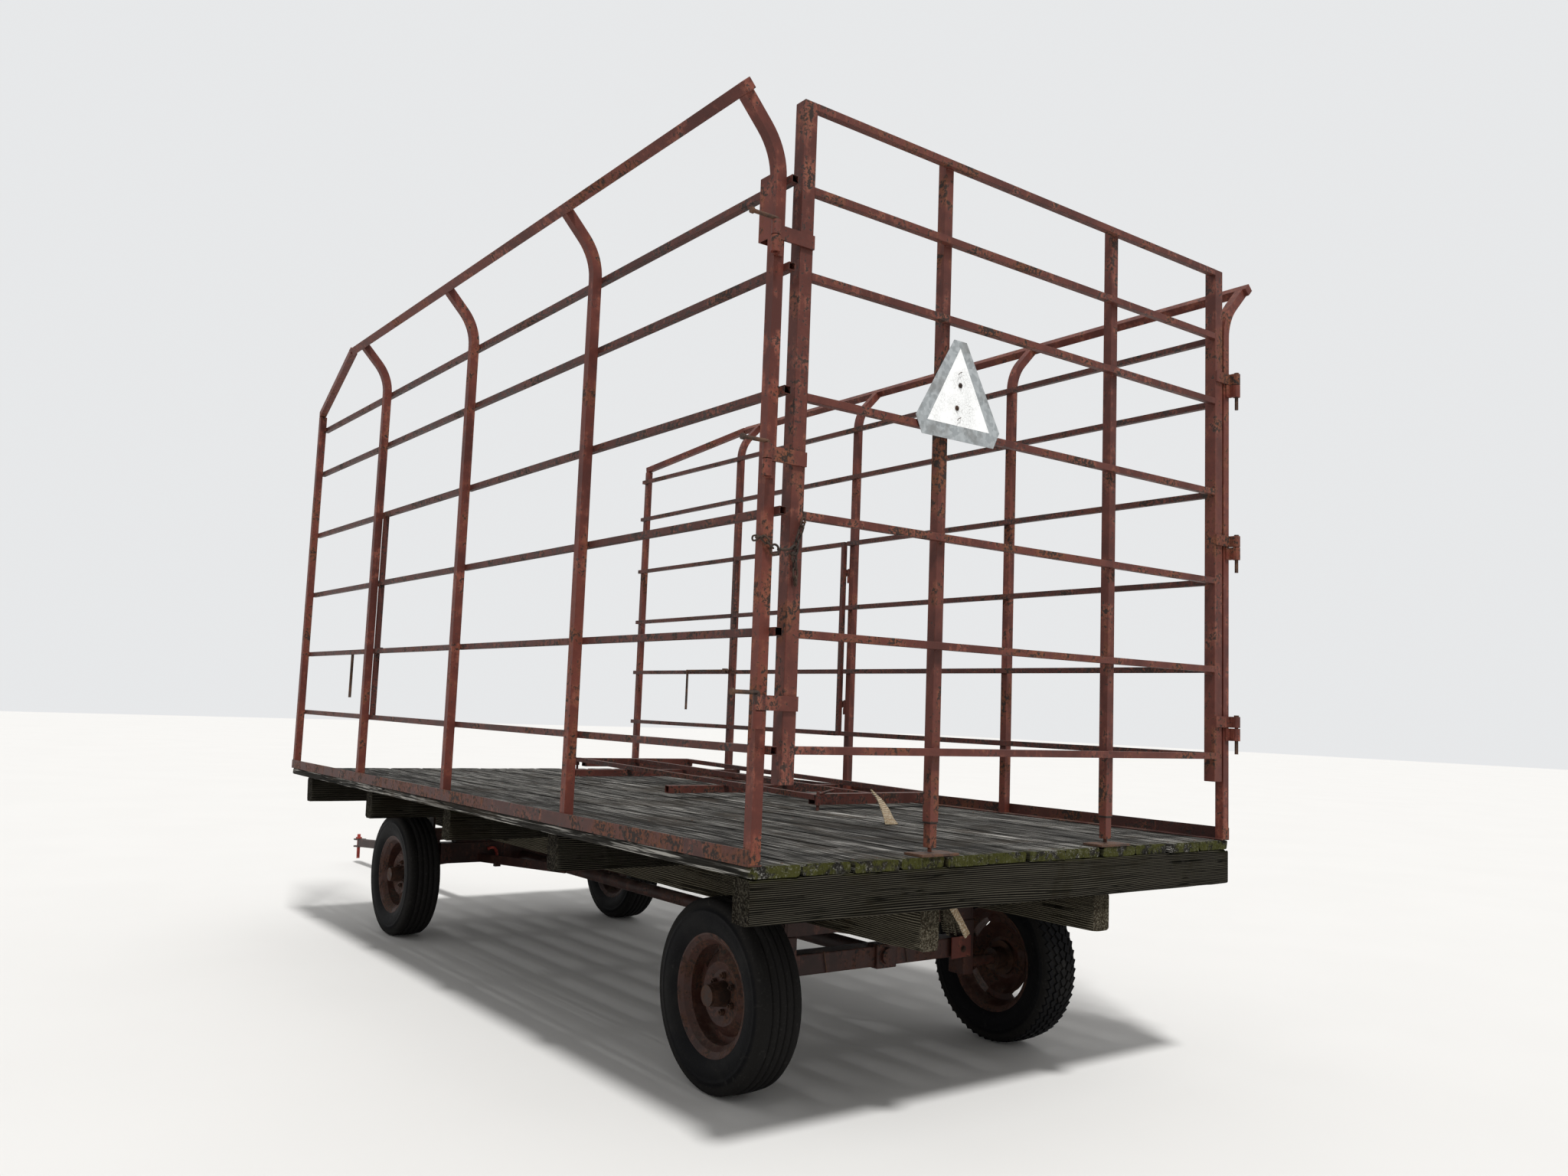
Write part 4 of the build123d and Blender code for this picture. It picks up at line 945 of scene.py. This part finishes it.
tubeRounding = {"posts": 0.0034, "rails": 0.0026, "angles": 0.0012, "beams": 0.005}
roundedNodes = [
    # node, rounding, material, body
    ("left_posts", "posts", postPaint, "wagon"), ("right_posts", "posts", postPaint, "wagon"),
    ("top_rails", "posts", postPaint, "wagon"), ("edge_angles", "angles", anglePaint, "wagon"),
    ("left_side_rails", "rails", railPaint, "wagon"), ("right_side_rails", "rails", railPaint, "wagon"),
    ("gate_stiles", "posts", gatePaint, "gate"), ("gate_rails", "rails", gatePaint, "gate"),
    ("gate_uprights", "posts", gatePaint, "gate"),
    ("left_door", "rails", railPaint, "left_door_body"),
    ("right_door", "rails", railPaint, "right_door_body"),
    ("rear_axle", "beams", shadedGearPaint, "wagon"), ("rear_bolster", "beams", shadedGearPaint, "wagon"),
    ("front_bolster", "beams", shadedGearPaint, "wagon"),
]
for nodeName, kind, material, body in roundedNodes:
    softEdges(nodeName, tubeRounding[kind], material, body, "gear_paint" if kind == "beams" else "red_paint")
print("tubes rounded")


# Fasteners: lug nuts and nails over the sills

wheelParts = {"lugCircle": 0.066, "lugs": 6, "face": 0.016, "proud": 0.004, "firstAngle": 30}
nutSizes = {"radius": 0.0125, "tall": 0.011, "tip": 0.007, "washer": 1.0, "sides": 6,
            "turn": (math.pi / 2, 0.0, 0.0), "seed": 2}
nutBoard = boltBoard("lug_nuts", hubIron, nutSizes)
for wheelName in wheelNames:
    low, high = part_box(wheelName + "_tyre")
    side = 1 if "left" in wheelName else -1
    circle = wheelParts["lugCircle"]
    outwards = side * (wheelParts["face"] + wheelParts["proud"])
    places = []
    for index in range(wheelParts["lugs"]):
        angle = math.radians(wheelParts["firstAngle"] + 360 * index / wheelParts["lugs"])
        away = Vector((circle * math.cos(angle), outwards, circle * math.sin(angle)))
        places.append((low + high) / 2 + away)
    nutSizes["turn"] = (-side * math.pi / 2, 0.0, 0.0)
    grow(wheelName + "_lug_nuts", nutBoard, nutSizes, (places, []), hubIron, wheelName + "_wheel")

nailSizes = {"radius": 0.0052, "tall": 0.0012, "tip": 0.0, "washer": 0.9, "sides": 9,
             "turn": (0.0, 0.0, 0.0), "seed": 7}
nailRows = {"fromEdge": 0.045, "stray": 0.012, "sunk": 0.0004, "seed": 11}
nailZ = planksHigh.z - nailRows["sunk"] - nailSizes["tall"] / 2
nailChance = random.Random(nailRows["seed"])
nails = []
for sillLow, sillHigh in solidBoxes("cross_sills"):
    for index in range(boards["count"]):
        for share in (nailRows["fromEdge"], boardPitch - nailRows["fromEdge"]):
            x = (sillLow.x + sillHigh.x) / 2 + nailChance.uniform(-1, 1) * nailRows["stray"]
            y = planksLow.y + index * boardPitch + share + nailChance.uniform(-1, 1) * nailRows["stray"]
            nails.append((x, y, nailZ))
growBolts("deck_nail_heads", pinSteel, nailSizes, nails, "wagon")
print("nuts and nails")


# Weld beads where rails meet posts and uprights

beadSizes = {"radius": 0.0026, "lumps": 9, "seed": 5}
beadPlaces = {"inset": 0.004, "reach": 0.034, "offRail": 0.0008, "offGate": 0.0006, "slack": 0.01}
weldBoard = beadBoard("weld_beads", postPaint, beadSizes)


def weld(name, lines, material, body):
    # a bead along each line, given by its first and last point
    points = [point for line in lines for point in line]
    edges = [(index, index + 1) for index in range(0, len(points), 2)]
    grow(name, weldBoard, beadSizes, (points, edges), material, body)


inset, slack = beadPlaces["inset"], beadPlaces["slack"]
for side, sign in (("left", 1), ("right", -1)):
    off = beadPlaces["offRail"]
    postBoxes = solidBoxes(side + "_posts")
    seams = []
    for railLow, railHigh in solidBoxes(side + "_side_rails"):
        y = (railHigh.y if sign > 0 else railLow.y) - sign * off
        for postLow, postHigh in postBoxes:
            if railLow.x < postLow.x + slack and railHigh.x > postHigh.x - slack:
                for z in (railLow.z - off, railHigh.z + off):
                    seams.append([(postLow.x + along, y, z) for along in (inset, beadPlaces["reach"])])
    weld(side + "_rail_welds", seams, railPaint, "wagon")
off = beadPlaces["offGate"]
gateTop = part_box("gate_rails")[1].z
seams = []
for railLow, railHigh in solidBoxes("gate_rails"):
    heights = [railLow.z - off]
    if railHigh.z < gateTop - slack:
        heights.append(railHigh.z + off)
    for y in (railHigh.y - off, railLow.y + off):
        seams += [((railLow.x + inset, y, z), (railHigh.x - inset, y, z)) for z in heights]
    x = railHigh.x - off
    for uprightLow, uprightHigh in solidBoxes("gate_uprights"):
        seams += [((x, uprightLow.y + inset, z), (x, uprightHigh.y - inset, z)) for z in heights]
weld("gate_welds", seams, gatePaint, "gate")
print("welds laid")


# Chain and load hook between the gate and the left rear post

chainSizes = {"long": 0.036, "wide": 0.0215, "wire": 0.0062, "pitch": 0.0236, "loose": 0.12, "seed": 3}
hookParts = {"x": -0.014, "hookWire": 0.0046, "ringY": 1.184, "ringZ": 0.955, "ringRadius": 0.0158,
             "ringWire": 0.0036, "studWire": 0.0034}
linksBoard = chainBoard("chain_links", chainSteel, chainSizes)
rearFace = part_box("left_posts")[0].x


def nearPost(*places):
    # places given in metres from the posts' rear face and above the deck
    return [Vector((rearFace + x, y, planksHigh.z + z)) for x, y, z in places]


chainLines = [
    [(-0.014, 1.0790, 1.052), (-0.014, 1.0870, 1.022), (-0.014, 1.1035, 0.978)],
    [(-0.014, 1.1080, 0.940), (-0.015, 1.1035, 0.905), (-0.014, 1.1000, 0.866)],
    [(-0.014, 1.2015, 0.9675), (-0.014, 1.2205, 0.9815)],
    [(0.001, 1.2315, 0.989), (0.0246, 1.2315, 0.989)],
]
chainPoints = []
chainEdges = []
for line in chainLines:
    first = len(chainPoints)
    chainPoints += nearPost(*line)
    chainEdges += [(index, index + 1) for index in range(first, len(chainPoints) - 1)]
chainPiece = grow("gate_chain_links", linksBoard, chainSizes, (chainPoints, chainEdges), chainSteel, "gate",
                  True)
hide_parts("gate_chain")
hookRoute = [(1.172, 0.957), (1.150, 0.959), (1.131, 0.960), (1.120, 0.966), (1.112, 0.975), (1.100, 0.972),
             (1.096, 0.960), (1.101, 0.949), (1.111, 0.946), (1.119, 0.951)]
ringRoute = []
for angle in range(0, 361, 20):
    turn = math.radians(angle)
    ringRoute.append((hookParts["ringY"] + hookParts["ringRadius"] * math.cos(turn),
                      hookParts["ringZ"] + hookParts["ringRadius"] * math.sin(turn)))
for name, route, wire in (("chain_hook", hookRoute, "hookWire"), ("chain_ring", ringRoute, "ringWire")):
    bentWire(name, nearPost(*((hookParts["x"], y, z) for y, z in route)), hookParts[wire], chainSteel, "gate")
bentWire("chain_stud", nearPost((-0.022, 1.0755, 1.052), (0.0, 1.0755, 1.052)), hookParts["studWire"],
         pinSteel, "gate")
print("chain hung")


# Sign: a bleached triangle on the zinc plate, with its bolts and wire twists

signMark = {"apexFromTop": 0.026, "baseFromFoot": 0.052, "halfWide": 0.150, "thick": 0.0004}  # metres
signBolts = {"radius": 0.0062, "tall": 0.004, "tip": 0.003, "washer": 1.5, "sides": 6,
             "turn": (0.0, -math.pi / 2, 0.0), "seed": 4}
signLow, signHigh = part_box("gate_sign")
middle = (signLow.y + signHigh.y) / 2
face = signLow.x
foot = signLow.z + signMark["baseFromFoot"]
triangle = [(face, middle + signMark["halfWide"], foot), (face, middle, signHigh.z - signMark["apexFromTop"]),
            (face, middle - signMark["halfWide"], foot)]
sheetPiece("sign_film", triangle, (-1, 0, 0), signMark["thick"], whiteFilm, "gate")
boltX = face - signBolts["tall"] / 2
boltPlaces = [(boltX, middle + 0.012, foot + 0.062), (boltX, middle - 0.002, foot + 0.145)]
growBolts("sign_bolt_heads", pinSteel, signBolts, boltPlaces, "gate")
twist = [(0.006, -0.010, 0.004), (-0.006, -0.006, 0.003), (-0.009, 0.002, 0.0), (-0.006, 0.009, -0.004),
         (-0.010, 0.016, -0.012)]
for index, height in enumerate((foot + 0.028, foot + 0.190)):
    route = [(face + x, middle + y, height + z) for x, y, z in twist]
    bentWire("sign_wire_" + str(index + 1), route, 0.0012, pinSteel, "gate")
print("sign dressed")


# Tread of the rear right tyre: slanted blocks in rows

treadLow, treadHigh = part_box("rear_right_tyre")
treadCentre = (treadLow + treadHigh) / 2
treadSizes = {"long": 0.034, "wide": 0.026, "tall": 0.012, "slant": 0.5, "centre": tuple(treadCentre)}
blockRows = {"rows": 5, "blocks": 58, "spread": 0.066, "sunk": 0.0128, "crown": 0.006}
rubberBoard = treadBoard("tread_blocks", blackRubber, treadSizes)
middleRow = (blockRows["rows"] - 1) / 2
places = []
for row in range(blockRows["rows"]):
    share = (row - middleRow) / middleRow
    across = share * blockRows["spread"]
    radius = (treadHigh.z - treadLow.z) / 2 - blockRows["sunk"] - blockRows["crown"] * share ** 2
    for index in range(blockRows["blocks"]):
        angle = 2 * math.pi * (index + 0.5 * (row % 2)) / blockRows["blocks"]
        # a hair to one side, so that the middle row has a side to slant to
        away = Vector((radius * math.cos(angle), across + 0.0001, radius * math.sin(angle)))
        places.append(treadCentre + away)
grow("rear_right_tread", rubberBoard, treadSizes, (places, []), blackRubber, "rear_right_wheel")
print("tread cut")


# Odds and ends seen on the deck and the gear

sliver = {"wide": (0.060, 0.052, 0.038, 0.024, 0.012, 0.002), "thick": 0.006,
          "across": (0.1, 1.0, 0.0), "seed": 3}
sliverRoute = nearPost((0.915, -0.162, 0.002), (0.932, -0.165, 0.026), (0.962, -0.168, 0.060),
                       (0.998, -0.167, 0.096), (1.034, -0.163, 0.126), (1.052, -0.160, 0.140))
splinter("deck_sliver", sliverRoute, sliver["wide"], sliver["thick"], sliver["across"], paleWood, "wagon",
         sliver["seed"])
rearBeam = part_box("rear_axle")[0].x
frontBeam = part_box("front_axle")[0].x
strip = [(0.014, 0.0, 0.470), (0.010, 0.0, 0.472), (0.009, -0.004, 0.445), (0.009, -0.012, 0.415),
         (0.010, -0.016, 0.392)]
for index, side in enumerate((0.318, -0.105)):
    route = [(rearBeam + x, side + y, z) for x, y, z in strip]
    bentWire("beam_wire_" + str(index + 1), route, 0.0022, pinSteel, "wagon")
elbow = [(-0.004, 0.238, 0.480), (-0.018, 0.222, 0.492), (-0.020, 0.200, 0.486), (-0.020, 0.186, 0.462),
         (-0.020, 0.180, 0.425), (-0.016, 0.178, 0.404)]
route = [(frontBeam + x, y, z) for x, y, z in elbow]
bentWire("gear_elbow", route, 0.009, pinPaint, "wagon", 6)
torn = [
    # start and end of each hanging piece: X from the posts' rear face, Y, and height over ground
    # then its width, thickness, share of the width left at its foot, and seed
    ((0.092, 0.322, 0.775), (0.094, 0.208, 0.632), 0.028, 0.007, 0.8, 4, paleWood),
    ((0.094, 0.336, 0.775), (0.096, 0.318, 0.655), 0.018, 0.012, 0.12, 5, stringerGrain),
    ((0.094, 0.328, 0.775), (0.096, 0.300, 0.640), 0.020, 0.012, 0.12, 6, stringerGrain),
    ((0.095, 0.320, 0.775), (0.098, 0.280, 0.648), 0.020, 0.010, 0.12, 7, stringerGrain),
    ((0.095, 0.314, 0.775), (0.098, 0.260, 0.636), 0.020, 0.010, 0.12, 8, stringerGrain),
    ((0.095, 0.308, 0.775), (0.098, 0.242, 0.645), 0.018, 0.009, 0.12, 9, stringerGrain),
    ((0.095, 0.300, 0.775), (0.098, 0.228, 0.650), 0.016, 0.008, 0.12, 10, stringerGrain),
]
bend = Vector((0.004, -0.004, 0.002))
for index, (top, foot, wide, thick, left, seed, material) in enumerate(torn):
    start, finish = (Vector((rearFace + x, y, z)) for x, y, z in (top, foot))
    route = [start, start.lerp(finish, 0.3) + bend, start.lerp(finish, 0.7) + bend, finish]
    splinter("torn_sill_" + str(index + 1), route, (wide, wide, wide * 0.85, wide * left), thick,
             (0.0, 0.80, -0.60), material, "wagon", seed)
lug = {"fromY": -0.357, "toY": -0.469, "low": 0.385, "high": 0.476, "thick": 0.005, "boltY": -0.424,
       "boltZ": 0.422}
lugBolts = {"radius": 0.0105, "tall": 0.008, "tip": 0.002, "washer": 1.35, "sides": 6,
            "turn": (0.0, -math.pi / 2, 0.0), "seed": 6}
outline = [(rearBeam, lug["fromY"], lug["low"]), (rearBeam, lug["toY"], lug["low"] + 0.004),
           (rearBeam, lug["toY"], lug["high"]), (rearBeam, lug["fromY"], lug["high"] - 0.003)]
sheetPiece("axle_lug", outline, (-1, 0, 0), lug["thick"], postPaint, "wagon")
boltX = rearBeam - lug["thick"] - 0.001
growBolts("axle_lug_bolt", hubIron, lugBolts, [(boltX, lug["boltY"], lug["boltZ"])], "wagon")
block = {"x": -0.034, "right": 0.162, "left": 0.198, "low": 0.374, "high": 0.408, "thick": 0.028}
corners = (("right", "low"), ("left", "low"), ("left", "high"), ("right", "high"))
outline = [(frontBeam + block["x"], block[y], block[z]) for y, z in corners]
sheetPiece("gear_block", outline, (1, 0, 0), block["thick"], hubIron, "wagon")
print("odds and ends")


# Lamps, sky and floor


def lightStudio(values):
    world = bpy.data.worlds.new("studio")
    bpy.context.scene.world = world
    world.use_nodes = True
    board = Board(world.node_tree)
    even = board.node("ShaderNodeBackground", None, {"Color": (1.0, 1.0, 1.0, 1), "Strength": values["fill"]})
    pale = board.node("ShaderNodeBackground", None, {"Color": values["backdrop"] + (1,), "Strength": 1.0})
    path = board.node("ShaderNodeLightPath", None, None, "Is Camera Ray")
    shiny = Wire(board, path.socket.node.outputs["Is Glossy Ray"])
    through = Wire(board, path.socket.node.outputs["Is Transmission Ray"])
    seen = path.most(shiny).most(through)
    mixed = board.node("ShaderNodeMixShader", None, {0: seen, 1: even, 2: pale})
    board.node("ShaderNodeOutputWorld", None, {"Surface": mixed})
    lamp = bpy.data.lights.new("sun", "SUN")
    lamp.energy = values["sunStrength"]
    lamp.angle = math.radians(values["sunSoftness"])
    sun = bpy.data.objects.new("sun", lamp)
    bpy.context.scene.collection.objects.link(sun)
    sun.rotation_mode = "QUATERNION"
    sun.rotation_quaternion = Vector(values["sunFrom"]).to_track_quat("Z", "Y")
    half = values["floorHalf"]
    mesh = bpy.data.meshes.new("floor")
    corners = [(-half, -half, 0), (half, -half, 0), (half, half, 0), (-half, half, 0)]
    mesh.from_pydata(corners, [], [(0, 1, 2, 3)])
    floor = bpy.data.objects.new("floor", mesh)
    bpy.context.scene.collection.objects.link(floor)
    mesh.materials.append(dustGround("floor", values["floor"] + (1,)))
    bpy.context.scene.view_settings.view_transform = "Standard"


lightStudio(studio)
print("studio lit")

print("scene built")
